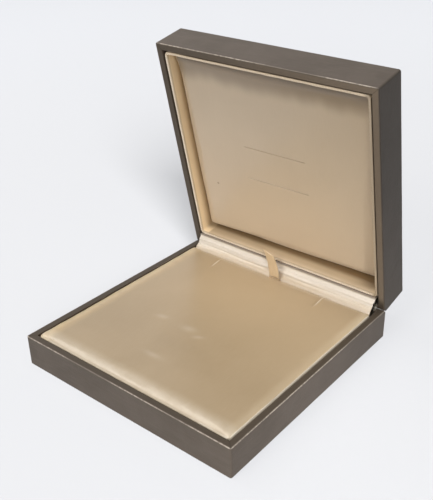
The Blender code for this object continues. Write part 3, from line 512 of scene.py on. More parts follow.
# Padded satin: the cushion in the base and the panel in the lid
def paddedForm(halfWide, front, rear, low, edge, size):
    bm = roundedBox(halfWide, front, rear, low, edge, size["radius"], 6)
    middle, halfDeep, roll = (front + rear) / 2, (rear - front) / 2, size["roll"]
    for share in (0.12, 0.3, 0.6, 1.0):  # lines that let the edge roll over
        for side in (-1, 1):
            cutPlane(bm, (side * (halfWide - share * roll), 0, 0), (1, 0, 0))
            cutPlane(bm, (0, middle + side * (halfDeep - share * roll), 0), (0, 1, 0))
    cutGrid(bm, 0, -halfWide + roll, halfWide - roll, size["step"])
    cutGrid(bm, 1, front + roll, rear - roll, size["step"])
    cutGrid(bm, 2, low, edge, size["step"])
    for vertex in bm.verts:
        x, y = vertex.co.x, vertex.co.y - middle
        inwards = min(halfWide - abs(x), halfDeep - abs(y))
        lift = size["rise"] * sqrt(max(0.0, 1 - max(0.0, 1 - inwards / roll) ** 2))
        lift += size["crown"] * (1 - (x / halfWide) ** 2) * (1 - (y / halfDeep) ** 2)
        vertex.co.z += lift * max(0.0, (vertex.co.z - low) / (edge - low))
        along = (1 - (y / halfDeep) ** 2) * abs(x / halfWide) ** 3
        across = (1 - (x / halfWide) ** 2) * abs(y / halfDeep) ** 3
        vertex.co.x -= size["drawnIn"] * along * copysign(1, x)
        vertex.co.y -= size["drawnIn"] * across * copysign(1, y)
    return bm


clothRun = dict(frames=16, smoothing=3, quality=5, stretch=12, bending=0.6, mass=0.15)


def inflate(piece, size, heldTop):
    # Tightens the satin over its foam by a short cloth run, and keeps each point within cap of its start
    addModifier(piece, "REMESH", mode="VOXEL", voxel_size=size["voxel"], use_smooth_shade=True)
    settle(piece)
    smooth = bmesh.new()
    smooth.from_mesh(piece.data)
    for _ in range(clothRun["smoothing"]):
        bmesh.ops.smooth_vert(smooth, verts=smooth.verts, factor=0.5, use_axis_x=True, use_axis_y=True,
                              use_axis_z=True)
    smooth.to_mesh(piece.data)
    smooth.free()
    start = [vertex.co.copy() for vertex in piece.data.vertices]
    group = piece.vertex_groups.new(name="held")
    group.add([v.index for v in piece.data.vertices if v.co.z < heldTop], 1.0, "REPLACE")
    cloth = addModifier(piece, "CLOTH")
    cloth.settings.quality = clothRun["quality"]
    cloth.settings.use_pressure = True
    cloth.settings.uniform_pressure_force = size["pressure"]
    cloth.settings.tension_stiffness = clothRun["stretch"]
    cloth.settings.compression_stiffness = clothRun["stretch"]
    cloth.settings.bending_stiffness = clothRun["bending"]
    cloth.settings.mass = clothRun["mass"]
    cloth.settings.vertex_group_mass = "held"
    cloth.settings.effector_weights.gravity = 0
    cloth.collision_settings.use_collision = False
    scene = bpy.context.scene
    scene.frame_start, scene.frame_end = 1, clothRun["frames"]
    for frameNow in range(1, clothRun["frames"] + 1):
        scene.frame_set(frameNow)
    settle(piece)
    scene.frame_set(1)
    for vertex, first in zip(piece.data.vertices, start):
        shift = vertex.co - first
        if shift.length > size["cap"]:
            vertex.co = first + shift.normalized() * size["cap"]
    addModifier(piece, "SUBSURF", levels=1, render_levels=1)
    settle(piece)


cushionTones = dict(reflectedGold=(0.620, 0.470, 0.290, 1), leftRoll=(0.76, 0.56, 0.29, 1),
                    rightRoll=(0.86, 0.72, 0.50, 1), edge=(0.95, 0.84, 0.66, 1), rubbed=(0.86, 0.79, 0.66, 1))
rimHeights = (23.2, 23.9)  # where the painted highlight along the cushion's crisp edge begins and is full, in millimetres


def cushionMarks(shade, tone, spot):
    x, y, z = spot
    middle, halfDeep = (cushionFront + cushionRear) / 2, (cushionRear - cushionFront) / 2
    front, left, right = y - cushionFront / mm, x + cushionHalf / mm, cushionHalf / mm - x
    edge = shade.calc("MINIMUM", cushionHalf / mm - abs(x), halfDeep / mm - abs(y - middle / mm))
    patchy = shade.noise(shade.place(), 0.12, 3.0).band(0.3, 0.65)
    # painted reflection: the satin is warmer towards the hinge, most on the right, where it faces the lid's satin
    rearReflection = y.band(-50.0, 45.0) * (x.band(-85.0, -15.0) * 0.6 + 0.4)
    tone = shade.mix(rearReflection * 0.42, tone, cushionTones["reflectedGold"])
    # painted highlights: the rolls along the sides are lighter, and the front one palest, where they catch the
    # light
    leftRoll = (1 - left.band(4.0, 15.0)) * (patchy * 0.26 + 0.34)
    tone = shade.mix(leftRoll, tone, cushionTones["leftRoll"])
    rightRoll = (1 - right.band(2.0, 9.0)) * (y.band(20.0, 75.0) * 0.3 + 0.16)
    tone = shade.mix(rightRoll, tone, cushionTones["rightRoll"])
    frontRoll = (1 - front.band(4.0, 14.0)) * (patchy * 0.3 + 0.7)
    tone = shade.mix(frontRoll * 0.30, tone, cushionTones["rubbed"])
    # painted highlights: palest where it turns over the cushion's edge, along that crisp edge, and on the slit
    # lips and creases
    turnedOver = (1 - left.band(0.5, 1.3)) * 0.9 + (1 - right.band(0.8, 1.8)) * 0.70
    tone = shade.mix(turnedOver, tone, cushionTones["edge"])
    rim = (1 - edge.band(0.8, 1.6)) * z.band(*rimHeights) * (patchy * 0.35 + 0.65)
    return shade.mix(shade.amount("rubbed") + rim * 0.60, tone, cushionTones["rubbed"])


ribbon = dict(inMm(width=10.0, gap=0.10, thick=0.22, long=26.0, short=22.5, shift=-1.9, lean=-3.6, bow=0.9,
                   ruffle=0.25, belly=0.10, start=0.4), forward=radians(10), foldShare=0.05, waistShare=0.05)
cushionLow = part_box("cushion_satin_cover")[0]
cushion = dict(inMm(radius=3.0, roll=9.0, rise=1.7, crown=1.6, drawnIn=0.2, step=6, edgeDrop=0.6, over=0.6,
                    voxel=2.2, cap=0.35, held=2.4, trim=0.35, leftTrim=-0.12, rightTrim=0.0, crease=0.22,
                    leftLift=0.50, leftReach=2.5, rightLift=0.85, rightReach=1.5, rippleDepth=0.16,
                    rippleReach=14, ribbonDip=1.0, dipWide=8, dipLong=7, creaseFrom=5, topFrom=6, cutFrom=8),
               pressure=2.2)
slits = (dict(inMm(place=(-53.0, 68.0), length=13.5), turn=radians(9)),
         dict(inMm(place=(48.7, 71.0), length=16.5), turn=radians(5)))
slitLip = inMm(half=0.12, raised=0.80, tucked=0.35, middle=0.45, reach=0.9, deep=1.6, dip=0.3, dipReach=3,
               rubbedAt=0.42, rubbedReach=0.45, beyond=4, around=5, fadeOut=1.5,
               lines=(0.12, 0.42, 0.8, 1.3, 2.1, 3.2), ends=(0, -1.2, -3, 1.2))
# faint creases left by hands, in millimetres and degrees: x, y, turn, length, width, height
dents = ((-31, -19.5, 100, 5, 2.4, 0.18), (-4, -19.5, 95, 6, 3.2, 0.26), (8, -23.5, 115, 4, 1.8, 0.24),
         (-4, -58, 90, 7, 2.2, 0.08), (-5, -34, 90, 18, 6, -0.25), (30, 40, 20, 18, 5, -0.25))
dentSheen = 0.17


def turned(co, place, turn):
    # How far a point lies along and across a mark that leans by turn towards -x
    x, y = co.x - place[0], co.y - place[1]
    return y * cos(turn) - x * sin(turn), x * cos(turn) + y * sin(turn)


def dentShare(co, dent):
    x, y, turn, length, wide = dent[:5]
    along, across = turned(co, (x * mm, y * mm), radians(turn))
    return bell(along, length * mm) * bell(across, wide * mm)


def cutSlit(bm, slit, above):
    place, turn, half, lip = slit["place"], slit["turn"], slit["length"] / 2, slitLip
    middle = Vector((place[0], place[1], 0))
    across = Vector((cos(turn), sin(turn), 0))
    along = Vector((-sin(turn), cos(turn), 0))

    def near(widest):
        found = []
        for face in bm.faces:
            at = face.calc_center_median()
            far, wide = turned(at, place, turn)
            if at.z > above and abs(far) < half + lip["beyond"] and abs(wide) < widest:
                found.append(face)
        return found

    cuts = [(across, offset) for offset in lip["lines"]] + [(along, half + offset) for offset in lip["ends"]]
    for normal, offset in cuts:
        for sign in (-1, 1):
            cutPlane(bm, middle + normal * sign * offset, normal, geometry=withEdges(near(lip["around"])))
    rubbed = bm.verts.layers.float.get("rubbed") or bm.verts.layers.float.new("rubbed")
    trench = [f for f in near(lip["half"]) if abs(turned(f.calc_center_median(), place, turn)[0]) < half]
    for vertex in only(BMVert, withEdges(near(lip["around"]))):
        far, wide = turned(vertex.co, place, turn)
        ends = max(0.0, 1 - (far / (half + lip["fadeOut"])) ** 2)
        raised = lip["raised"] if wide > 0 else -lip["tucked"]
        vertex.co.z += raised * bell(abs(wide) - lip["middle"], lip["reach"]) * sqrt(ends)
        vertex.co.z -= lip["dip"] * bell(wide, lip["dipReach"]) * ends
        # painted highlight along the raised lip
        if wide > 0:
            paleness = 0.9 * bell(wide - lip["rubbedAt"], lip["rubbedReach"]) * ends
            vertex[rubbed] = max(vertex[rubbed], paleness)
    low = only(BMVert, bmesh.ops.extrude_face_region(bm, geom=trench)["geom"])
    bmesh.ops.translate(bm, vec=(0, 0, -lip["deep"]), verts=low)
    bmesh.ops.delete(bm, geom=trench, context="FACES")


cushionSatin = satinFinish("cushionSatin", 0.90, marks=cushionMarks)


def creaseSides(bm):
    # The cover is pulled hard over the board here, so the roll ends in a crease and an upright side
    size, above = cushion, cushionLow.z + cushion["creaseFrom"]
    right, left = cushionHalf - size["rightTrim"], size["leftTrim"] - cushionHalf
    near, far = cushionFront + size["trim"], cushionRear - 0.5 * size["trim"]
    for point, normal in (((right, 0, 0), (1, 0, 0)), ((left, 0, 0), (-1, 0, 0)), ((0, near, 0), (0, -1, 0)),
                          ((0, far, 0), (0, 1, 0))):
        edges = cutPlane(bm, point, normal, clear=True)
        bmesh.ops.edgeloop_fill(bm, edges=edges)
    bm.normal_update()

    def upright(face):  # one of the four cut sides, which have many corners
        return abs(face.normal.z) < 0.02 and len(face.verts) > 6

    creases = [e for e in bm.edges if len(e.link_faces) == 2 and e.verts[0].co.z > above
               and abs(e.verts[0].co.z - e.verts[1].co.z) < 0.5 * e.calc_length()
               and any(upright(face) for face in e.link_faces)]
    bmesh.ops.bevel(bm, geom=creases, offset=size["crease"], segments=2, profile=0.5, affect="EDGES",
                    clamp_overlap=True, material=-1)


def dressCushion():
    size, over = cushion, cushion["over"]
    bm = paddedForm(cushionHalf + over, cushionFront - over, cushionRear + over, cushionLow.z,
                    baseHeight - size["edgeDrop"], size)
    piece = finishPiece(bm, "satinCushion", cushionSatin)
    inflate(piece, size, cushionLow.z + size["held"])
    for vertex in piece.data.vertices:
        co = vertex.co
        if co.z < cushionLow.z + size["topFrom"]:
            continue
        nearEdge = min(cushionHalf - abs(co.x), co.y - cushionFront, cushionRear - co.y)
        puckers = ripple(co.x * 95, co.y * 95, 4.2) * exp(-nearEdge / size["rippleReach"])
        co.z += size["rippleDepth"] * (puckers * 1.6 + ripple(co.x * 22, co.y * 22, 9.6) * 1.3)
        for dent in dents:
            co.z += dent[5] * mm * dentShare(co, dent)
        atRoot = bell(co.x - ribbon["shift"], size["dipWide"]) * bell(cushionRear - co.y, size["dipLong"])
        co.z -= size["ribbonDip"] * atRoot
        co.z += size["leftLift"] * bell(cushionHalf + co.x, size["leftReach"])
        co.z += size["rightLift"] * bell(cushionHalf - co.x, size["rightReach"])
    bm = bmesh.new()
    bm.from_mesh(piece.data)
    creaseSides(bm)
    for slit in slits:
        cutSlit(bm, slit, cushionLow.z + size["cutFrom"])
    rubbed = bm.verts.layers.float["rubbed"]
    # painted highlight on the raised creases
    for vertex in bm.verts:
        vertex[rubbed] += sum(dentSheen * dentShare(vertex.co, dent) for dent in dents if dent[5] > 0)
    bm.to_mesh(piece.data)
    bm.free()
    piece.data.shade_smooth()
    piece.data.set_sharp_from_angle(angle=radians(50))
    return piece


satinCushion = dressCushion()
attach(satinCushion, "base")
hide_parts("cushion_satin_cover", "cushion_foam", "cushion_board")
print("cushion made", len(satinCushion.data.polygons))

collar = inMm(inset=6.4, rear=12.2, edgeDrop=0.5, thick=2.4, corner=4.0, outerLeg=5.0, innerLeg=23.0,
              leastCorner=0.2, satin=0.4, step=1.3, pucker=0.10, puckerReach=4, waver=0.16, seam=0.45,
              under=1.2, bulge=(0.25, 0.30), bulgeDown=(0.9, 2.2), slack=0.12, flat=28)
panel = dict(inMm(gap=0.5, edgeDepth=14.0, radius=4.0, roll=4.0, rise=2.0, crown=1.4, drawnIn=0.6, step=6,
                  voxel=2.2, cap=0.7, low=4.2, held=6.2, wave=2.6, lift=2.4, sink=5.0, rearDrawn=2.8,
                  leftLift=2.9, topAbove=4, waver=0.30, waverEdge=6, ruleLength=57, ruleMiddle=2.6,
                  rulePlaces=(-16.0, 13.0), ruleHalf=0.45, ruleDepth=0.75, ruleAbove=5, ruleAround=4,
                  ruleBeyond=3), pressure=1.6)
panelHalf = halfX - collar["inset"] - collar["thick"] - panel["gap"]
panelFront = -(halfY - collar["inset"] - collar["thick"] - panel["gap"])
panelRear = halfY - collar["rear"] - collar["thick"] - panel["gap"]
panelTones = dict(topShadow=(0.135, 0.096, 0.058, 1), reflectedGold=(0.700, 0.535, 0.355, 1),
                  leftEdge=(0.98, 0.80, 0.56, 1), rightEdge=(0.30, 0.22, 0.14, 1),
                  rearEdge=(0.30, 0.19, 0.095, 1), pressed=(0.235, 0.155, 0.080, 1),
                  spot=(0.20, 0.12, 0.06, 1))
spotPlace, spotEdge = (64.0, 27.0, 0.0), (0.5, 1.5)  # of a small stain, in millimetres


def panelMarks(shade, tone, spot):
    x, y = spot[:2]
    # painted shadow under the collar greys it towards the lid's front edge, and a painted reflection of the
    # cushion warms it towards the hinge
    wavy = y + shade.noise(shade.stretch(shade.kept("tray"), 0.028, 0.0, 0.0), 1.0, 2.0) * 16.0
    topShadow = (1 - wavy.band(-68.0, -53.0)) * 0.58 + (1 - y.band(-70.0, -20.0)) * 0.12
    reflectedGold = y.band(-45.0, 45.0) * (x.band(-90.0, -20.0) * 0.20 + 0.08)
    # painted highlight along the left edge as seen open, and painted shade along the right and rear edges
    leftEdge = x.band(panelHalf / mm - 3.2, panelHalf / mm - 2.0) * 0.95
    rearEdge = y.band(panelRear / mm - 2.4, panelRear / mm - 0.6) * 0.5
    # the pressed rules are a little darker, and one small spot has stained the satin
    flat = shade.node("ShaderNodeCombineXYZ", None, {0: x, 1: y})
    off = shade.vector("DISTANCE", {0: flat, 1: spotPlace}, out="Value")
    for where, paint in ((topShadow, "topShadow"), (reflectedGold, "reflectedGold"), (leftEdge, "leftEdge"),
                         ((1 - x.band(-85.0, -75.0)) * 0.22, "rightEdge"), (rearEdge, "rearEdge"),
                         (shade.amount("pressed") * 0.70, "pressed"),
                         ((1 - off.band(*spotEdge)) * 0.6, "spot")):
        tone = shade.mix(where, tone, panelTones[paint])
    return tone


collarTones = dict(side=(0.94, 0.75, 0.49, 1), leg=(0.78, 0.64, 0.46, 1), deep=(0.190, 0.115, 0.050, 1),
                   corner=(0.120, 0.075, 0.035, 1), crest=(0.86, 0.79, 0.66, 1), lay=(0.33, 0.20, 0.11, 1),
                   rightCrest=(0.200, 0.150, 0.095, 1), groove=(0.24, 0.16, 0.09, 1),
                   gapShade=(0.085, 0.055, 0.032, 1))


def collarMarks(shade, tone, spot):
    x, y, z = spot
    top, onLeft, onSide = lidHeight / mm, x.band(-20.0, 20.0), (abs(x) - abs(y)).band(-1.0, 1.0)
    front, rear = (halfY - collar["inset"]) / mm, (halfY - collar["rear"]) / mm
    out = shade.calc("MINIMUM", y + front, rear - y)
    out = shade.calc("MINIMUM", (halfX - collar["inset"]) / mm - abs(x), out)
    near = z.band(top - 2.6, top - 1.4)
    sides, others = onSide * (1 - near), 1 - onSide * (1 - near)
    # the legs are shaded deep down, most of all in the rear right corner
    deep = (1 - z.band(top - 13.8, top - 8.3)) * others + (1 - z.band(top - 13.0, top - 4.5)) * sides * 0.84
    deep = deep + (1 - x.band(-90.0, -40.0)) * others * (1 - near) * 0.22
    corner = y.band(68.0, 76.0) * (1 - x.band(-84.0, -62.0)) * (1 - z.band(top - 10.0, top - 2.4))
    # painted highlight along the crest of the rolled edge, broken by its twist, with painted shade in darker lines
    # along the lay of the twist and over the crest of the right leg
    twisted = shade.calc("SINE", (x + y + z) * 2.7) * 0.5 + 0.5
    crest = out.band(0.55, 0.85) * (1 - out.band(1.7, 2.2)) * near * (x.band(-84.0, -80.0) * 0.7 + 0.3)
    crest = crest * (y.band(-halfY / mm + 8.0, -halfY / mm + 11.0) * 0.6 + 0.4)
    lay = (1 - twisted.band(0.05, 0.50)) * out.band(0.4, 0.7) * (1 - out.band(2.0, 2.4)) * near
    # painted shade under the rolled edge, on its inner side
    groove = out.band(2.0, 2.25) * (1 - out.band(2.45, 2.7)) * z.band(top - 2.4, top - 1.8)
    # painted shade darkens the outer side, in the narrow gap beside the lid's wall
    gapShade = (1 - out.band(0.20, 0.50)) * (0.85 - x.band(60.0, 80.0) * 0.45)
    # painted light makes the left leg as seen open, and the upper part of the other legs, lighter
    for where, paint in ((sides * onLeft * 0.95, "side"),
                         (z.band(top - 8.0, top - 1.0) * others * 0.35, "leg"),
                         (deep * 0.94, "deep"), (corner * 0.75, "corner"),
                         (crest * (twisted * 0.40 + 0.45), "crest"),
                         (lay * (y.band(70.0, 74.0) * 0.50 + 0.15), "lay"),
                         ((1 - x.band(-86.0, -83.0)) * near * 0.55, "rightCrest"),
                         (groove * (1 - onLeft * onSide) * 0.45, "groove"), (gapShade, "gapShade")):
        tone = shade.mix(where, tone, collarTones[paint])
    return tone


panelSatin = satinFinish("panelSatin", 1.02, tray=True, paleReflection=0.35, marks=panelMarks)
collarSatin = satinFinish("collarSatin", 1.10, tray=True, paleReflection=0.10, marks=collarMarks)


def crestReach(across):
    # How far the satin's swelling along the front edge reaches, wider on the right as seen open, and wavy
    return (11 + 6 * (0.5 - 0.5 * across) + 2.4 * sin(4.6 * across + 0.6)) * mm


def dressPanel():
    size = panel
    low, edge = size["low"], lidHeight - size["edgeDepth"]
    bm = paddedForm(panelHalf, panelFront, panelRear, low, edge, size)
    piece = finishPiece(bm, "lidSatinPanel", panelSatin)
    inflate(piece, size, size["held"])
    for vertex in piece.data.vertices:
        co = vertex.co
        up = clamp((co.z - low) / (edge - low))
        across = clamp(co.x / panelHalf, -1.0)
        along = clamp((co.y - panelFront) / (panelRear - panelFront))
        # the board lies a little askew: high at the front left, low at the rear right, as seen open
        co.z += up * size["lift"] * (1 - along) ** 1.5 * (0.55 + 0.45 * across)
        co.z -= up * size["sink"] * along ** 3 * (0.5 - 0.5 * across) ** 2
        askew = clamp(across + 0.1)
        drawn = size["rearDrawn"] * askew * askew * (3 - 2 * askew) - size["drawnIn"] * (1 - across * across)
        co.y -= drawn * along ** 12 * up
        swell = 0.55 + 0.45 * sin(pi * along ** 1.2)
        co.z += up * size["leftLift"] * bell(1 - across, 0.5) * swell
        co.z += up * size["wave"] * bell(co.y - panelFront, crestReach(across))
        if co.z < low + size["topAbove"]:
            continue
        inwards = min(panelHalf - abs(co.x), co.y - panelFront, panelRear - co.y)
        co.z += size["waver"] * ripple(co.x * 26, co.y * 26, 2.2) * clamp(inwards / size["waverEdge"])
    bm = bmesh.new()
    bm.from_mesh(piece.data)
    pressed = bm.verts.layers.float.new("pressed")
    for place in size["rulePlaces"]:
        pressRule(bm, place, pressed)
    bm.to_mesh(piece.data)
    bm.free()
    piece.data.shade_smooth()
    keepTray(piece)
    piece.data.transform(lidPlace)
    return piece


def pressRule(bm, place, pressed):
    # A rule pressed into the satin: lines are cut along it, and the middle ones pushed down
    size = panel
    reach, above = size["ruleLength"] / 2, size["low"] + size["ruleAbove"]
    for offset in (-3, -1.8, -1, -0.5, 0, 0.5, 1, 1.8, 3):
        middles = [(face, face.calc_center_median()) for face in bm.faces]
        near = [face for face, at in middles if at.z > above and abs(at.y - place) < size["ruleAround"]
                and abs(at.x - size["ruleMiddle"]) < reach + size["ruleBeyond"]]
        cutPlane(bm, (0, place + offset * size["ruleHalf"], 0), (0, 1, 0), geometry=withEdges(near))
    for vertex in bm.verts:
        co = vertex.co
        off = abs(co.y - place) / size["ruleHalf"]
        if co.z < above or off > 3.1:
            continue
        along = clamp((reach - abs(co.x - size["ruleMiddle"])) / mm)
        groove = max(0.0, 1 - off) ** 0.7
        co.z += size["ruleDepth"] * (0.22 * bell(off - 1.7, 0.7) - groove) * along
        vertex[pressed] = max(vertex[pressed], groove * along)


lidSatinPanel = dressPanel()
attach(lidSatinPanel, "lid")
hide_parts("lid_panel_satin", "lid_panel_foam", "lid_panel_board")
print("panel made", len(lidSatinPanel.data.polygons))


# The collar: satin swept round the inside of the lid, rolled over its card's edge
def ringEdges(bm, halfWide, front, rear, radius, level, step):
    corners = [bm.verts.new((x, y, level)) for x, y in (
        (halfWide, front), (halfWide, rear), (-halfWide, rear), (-halfWide, front))]
    face = bm.faces.new(corners)
    bmesh.ops.bevel(bm, geom=list(face.verts), offset=radius, segments=8, profile=0.5,
                    affect="VERTICES", material=-1)
    bmesh.ops.delete(bm, geom=bm.faces[:], context="FACES_ONLY")
    for edge in [e for e in bm.edges if e.calc_length() > 4 * step]:
        bmesh.ops.subdivide_edges(bm, edges=[edge], cuts=round(edge.calc_length() / step) - 1)
    return list(bm.edges)


def outwards(co, halfWide, front, rear, radius):
    # The direction square to the rounded outline at a point on it
    x = max(-halfWide + radius, min(halfWide - radius, co.x))
    y = max(front + radius, min(rear - radius, co.y))
    return Vector((co.x - x, co.y - y, 0)).normalized()


def collarPath(edge):
    # How far in and how high each line of the satin lies: up outside the card, over its edge, down inside
    size = collar
    roll, depth = size["thick"] / 2, size["innerLeg"] - size["thick"] / 2
    path = [(0.0, edge - roll - size["under"]), (0.0, edge - roll)]
    for turn in (pi * k / 12 for k in range(1, 12)):
        inset = roll - roll * cos(turn)
        seam = size["seam"] * bell(inset - 1.15 * roll, 0.16 * roll)
        path.append((inset, edge - roll + roll * sin(turn) - seam))
    path.append((2 * roll, edge - roll))
    path += [(2 * roll + out, edge - roll - down) for out, down in zip(size["bulge"], size["bulgeDown"])]
    return path + [(2 * roll + size["slack"] * (k % 2), edge - roll - depth * k / 6) for k in range(2, 7)]


def dressCollar():
    size = collar
    halfWide, front, rear = halfX - size["inset"], -(halfY - size["inset"]), halfY - size["rear"]
    edge, roll = lidHeight - size["edgeDrop"], size["thick"] / 2
    bm = bmesh.new()
    current = ringEdges(bm, halfWide, front, rear, size["corner"], edge - size["outerLeg"], size["step"])
    last = 0.0
    for inset, level in collarPath(edge):
        made = bmesh.ops.extrude_edge_only(bm, edges=current)["geom"]
        verts = set(only(BMVert, made))
        current = [e for e in only(BMEdge, made) if all(v in verts for v in e.verts)]
        for vertex in verts:
            out = outwards(vertex.co, halfWide - last, front + last, rear - last,
                           max(size["corner"] - last, size["leastCorner"]))
            vertex.co -= out * (inset - last)
            vertex.co.z = level
        last = inset
    for vertex in bm.verts:
        co = vertex.co
        around = atan2(co.y, co.x)
        walk = (co.y if abs(co.x) > abs(co.y) else co.x) / mm
        up = clamp(1 - (edge - co.z) / size["puckerReach"])
        twist = sin(2.1 * walk + 5.5 * (co.z / mm)) * 0.6 + ripple(walk * 0.9, co.z * 700, around)
        push = size["pucker"] * twist * up + size["waver"] * ripple(walk * 0.12, co.z * 160, around)
        if co.z < edge:
            away = outwards(co, halfWide - roll, front + roll, rear - roll, size["corner"] - roll)
            vertex.co -= away * push
        vertex.co.z += 0.25 * push * up
    piece = finishPiece(bm, "lidSatinCollar", collarSatin)
    thicken(piece, size["satin"], offset=-1)
    piece.data.transform(lidPlace)
    return piece


lidSatinCollar = dressCollar()
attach(lidSatinCollar, "lid")
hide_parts("lid_collar_satin")
ring = 2 * (2 * halfX - 2 * collar["inset"]) + 2 * (2 * halfY - collar["inset"] - collar["rear"])
print("collar made", len(lidSatinCollar.data.polygons))

# The gusset over the hinge
gusset = dict(inMm(thick=0.35, baseLow=17, baseTop=3.0, lidTop=1.0, lidLow=12.0, rear=11.5, depth=0.75,
                   belly=1.0, pleat=0.16, rough=0.16, tuck=0.8, ragged=0.35, short=0.6, hollow=2.3, flat=44),
              half=halfX - 6.0 * mm, y=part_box("hinge_gusset")[0].y + 0.2 * mm, across=170, up=60, folds=2.0,
              baseShare=0.2, lidShare=0.14)
gussetTones = dict(creaseShade=(0.52, 0.48, 0.43, 1), tucked=(0.10, 0.060, 0.028, 1))


def gussetMarks(shade, tone, spot):
    # painted shade greys it along the creases, and a painted reflection of the cushion warms it where the strip
    # goes down behind the cushion
    creases = shade.noise(shade.stretch(shade.kept("strip"), 0.02, 1.0, 1.0), 1.3, 4.0, 0.6)
    tone = shade.mix(creases.band(0.50, 0.72) * 0.34, tone, gussetTones["creaseShade"])
    wander = shade.noise(shade.stretch(shade.place(), 0.03, 0.0, 0.0), 1.0, 2.0) * 3.0
    tone = shade.mix((1 - (spot[2] + wander).band(25.2, 29.0)) * 0.60, tone, satin["gold"])
    # painted shadow in a dark line where the strip goes in under the collar's edge
    return shade.mix(shade.amount("tucked") * 0.90, tone, gussetTones["tucked"])


gussetSatin = satinFinish("gussetSatin", 1.0, cream=0.68, roughness=0.27, marks=gussetMarks)


def foldedStrip(side, t, x):
    # How far the strip between its two ends stands off their chord: the folds, fine pleats and a belly
    size, held = gusset, sin(pi * t)
    drift = 0.12 * sin(pi * (2 * (side + 0.5) - 0.5)) + 0.10 * ripple(x * 40, 0, 1.3)
    bend = size["depth"] * (1 - 0.35 * cos(2 * pi * (side + 0.5)))
    fold = bend * sin(2 * pi * size["folds"] * (t + drift * held / size["folds"]))
    fine = size["pleat"] * sin(2 * pi * 6.5 * t + 3 * ripple(x * 22, 0, 5.1))
    rough = size["rough"] * ripple(x * 160, t * 7, 0.4)
    return held * (fold + fine + rough - size["belly"]) + size["tuck"] * bell(1 - t, 0.09)


def dressGusset():
    size = gusset
    baseA = Vector((size["y"], baseHeight - size["baseLow"]))
    baseB = Vector((size["y"], baseHeight - size["baseTop"]))
    lidTop = (lidPlace @ Vector((0, halfY - size["rear"], lidHeight - size["lidTop"]))).yz
    lidLow = (lidPlace @ Vector((0, halfY - size["rear"], lidHeight - size["lidLow"]))).yz
    chord = lidTop - baseB
    normal = Vector((-chord.y, chord.x)).normalized()
    lidStart = 1 - size["lidShare"]
    bm = bmesh.new()
    bmesh.ops.create_grid(bm, x_segments=size["across"], y_segments=size["up"], size=0.5)
    for vertex in bm.verts:
        side, share = vertex.co.x, vertex.co.y + 0.5
        x = 2 * size["half"] * side
        if share < size["baseShare"]:
            spot = baseA.lerp(baseB, share / size["baseShare"])
        elif share > lidStart:
            spot = lidTop.lerp(lidLow, (share - lidStart) / size["lidShare"])
        else:
            t = (share - size["baseShare"]) / (lidStart - size["baseShare"])
            spot = baseB + chord * t + normal * foldedStrip(side, t, x)
        # the right end is cut a little short, so that the end of the steel hinge shows
        hollow = size["hollow"] * sin(pi * share) + size["ragged"] * ripple(share * 60, 3.3, 0.0)
        x -= (size["short"] + hollow) * max(0.0, 2 * side) ** 8
        vertex.co = Vector((x, spot.x, spot.y))
    strip, tucked = bm.verts.layers.float_vector.new("strip"), bm.verts.layers.float.new("tucked")
    # each point keeps its place along the strip, and how far it lies inside the painted shadow under the collar's
    # edge
    for vertex in bm.verts:
        at = Vector(vertex.co.yz)
        vertex[strip] = Vector((vertex.co.x, (at - baseA).length, 0))
        vertex[tucked] = clamp(1.60 - (at - lidTop).length / mm)
    piece = finishPiece(bm, "hingeGussetSatin", gussetSatin)
    thicken(piece, size["thick"])
    return piece, baseB, lidTop


# Beyond each end of the hinge its wire runs on into a bead of the covering, and both close the seam
def dressSeam(name, start, end, material):
    bm = bmesh.new()
    bmesh.ops.create_cone(bm, cap_ends=True, segments=12, radius1=seam["radius"], radius2=seam["radius"],
                          depth=abs(end - start))
    turn = Matrix.Rotation(pi / 2, 4, "Y")
    piece = finishPiece(bm, name, material, Matrix.Translation(((start + end) / 2, pivot.y, pivot.z)) @ turn)
    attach(piece, "base")


seam = dict(start=halfX - 6.9 * mm, change=halfX - 3.6 * mm, end=halfX - 0.7 * mm, radius=0.14 * mm)
for seamSide, sign in (("Left", -1), ("Right", 1)):
    start, change, end = (sign * seam[part] for part in ("start", "change", "end"))
    dressSeam(f"hingeWire{seamSide}", start, change, springSteel)
    dressSeam(f"seamBead{seamSide}", change, end, baseSkin)

gussetPiece, gussetStart, gussetEnd = dressGusset()
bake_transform(gussetPiece, "base", "lid", start=(0, gussetStart.x, gussetStart.y),
         end=(0, gussetEnd.x, gussetEnd.y))
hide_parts("hinge_gusset")
2 * gusset["half"] - gusset["short"]
print("gusset made")

# The ribbon tab
ribbonSatin = satinFinish("ribbonSatin", 1.30, slub=1.6)


def dressTab():
    # one strip runs up in front, turns over at the top and runs down behind
    size = ribbon
    root = Vector(jointOf("pull_tab_fold")["pos_m"])
    bm = bmesh.new()
    bmesh.ops.create_grid(bm, x_segments=14, y_segments=60, size=0.5)
    reach = size["thick"] / 2 + size["gap"] / 2
    for vertex in bm.verts:
        side, run = vertex.co.x, (vertex.co.y + 0.5) * 2
        front = run < 1
        share = run if front else 2 - run
        length = size["long"] + (size["short"] - size["long"]) * (side + 0.5)
        turn = max(0.0, (share - (1 - size["foldShare"])) / size["foldShare"])
        apart = reach * sqrt(max(0.0, 1 - turn * turn)) + size["belly"] * sin(pi * share)
        bowed = size["bow"] * sin(pi * share) + size["ruffle"] * ripple(side * 2.2, share * 2.6, 7.7)
        vertex.co = Vector((
            size["width"] * side * (1 - size["waistShare"] * sin(pi * share)) + size["lean"] * share ** 1.4,
            bowed + (-apart if front else apart),
            size["start"] + share * (length - size["start"]),
        ))
    bmesh.ops.rotate(bm, verts=bm.verts, cent=(0, 0, 0), matrix=Matrix.Rotation(size["forward"], 3, "X"))
    bmesh.ops.translate(bm, verts=bm.verts, vec=root + Vector((size["shift"], 0, 0)))
    piece = finishPiece(bm, "pullRibbonTab", ribbonSatin)
    thicken(piece, size["thick"])
    return piece


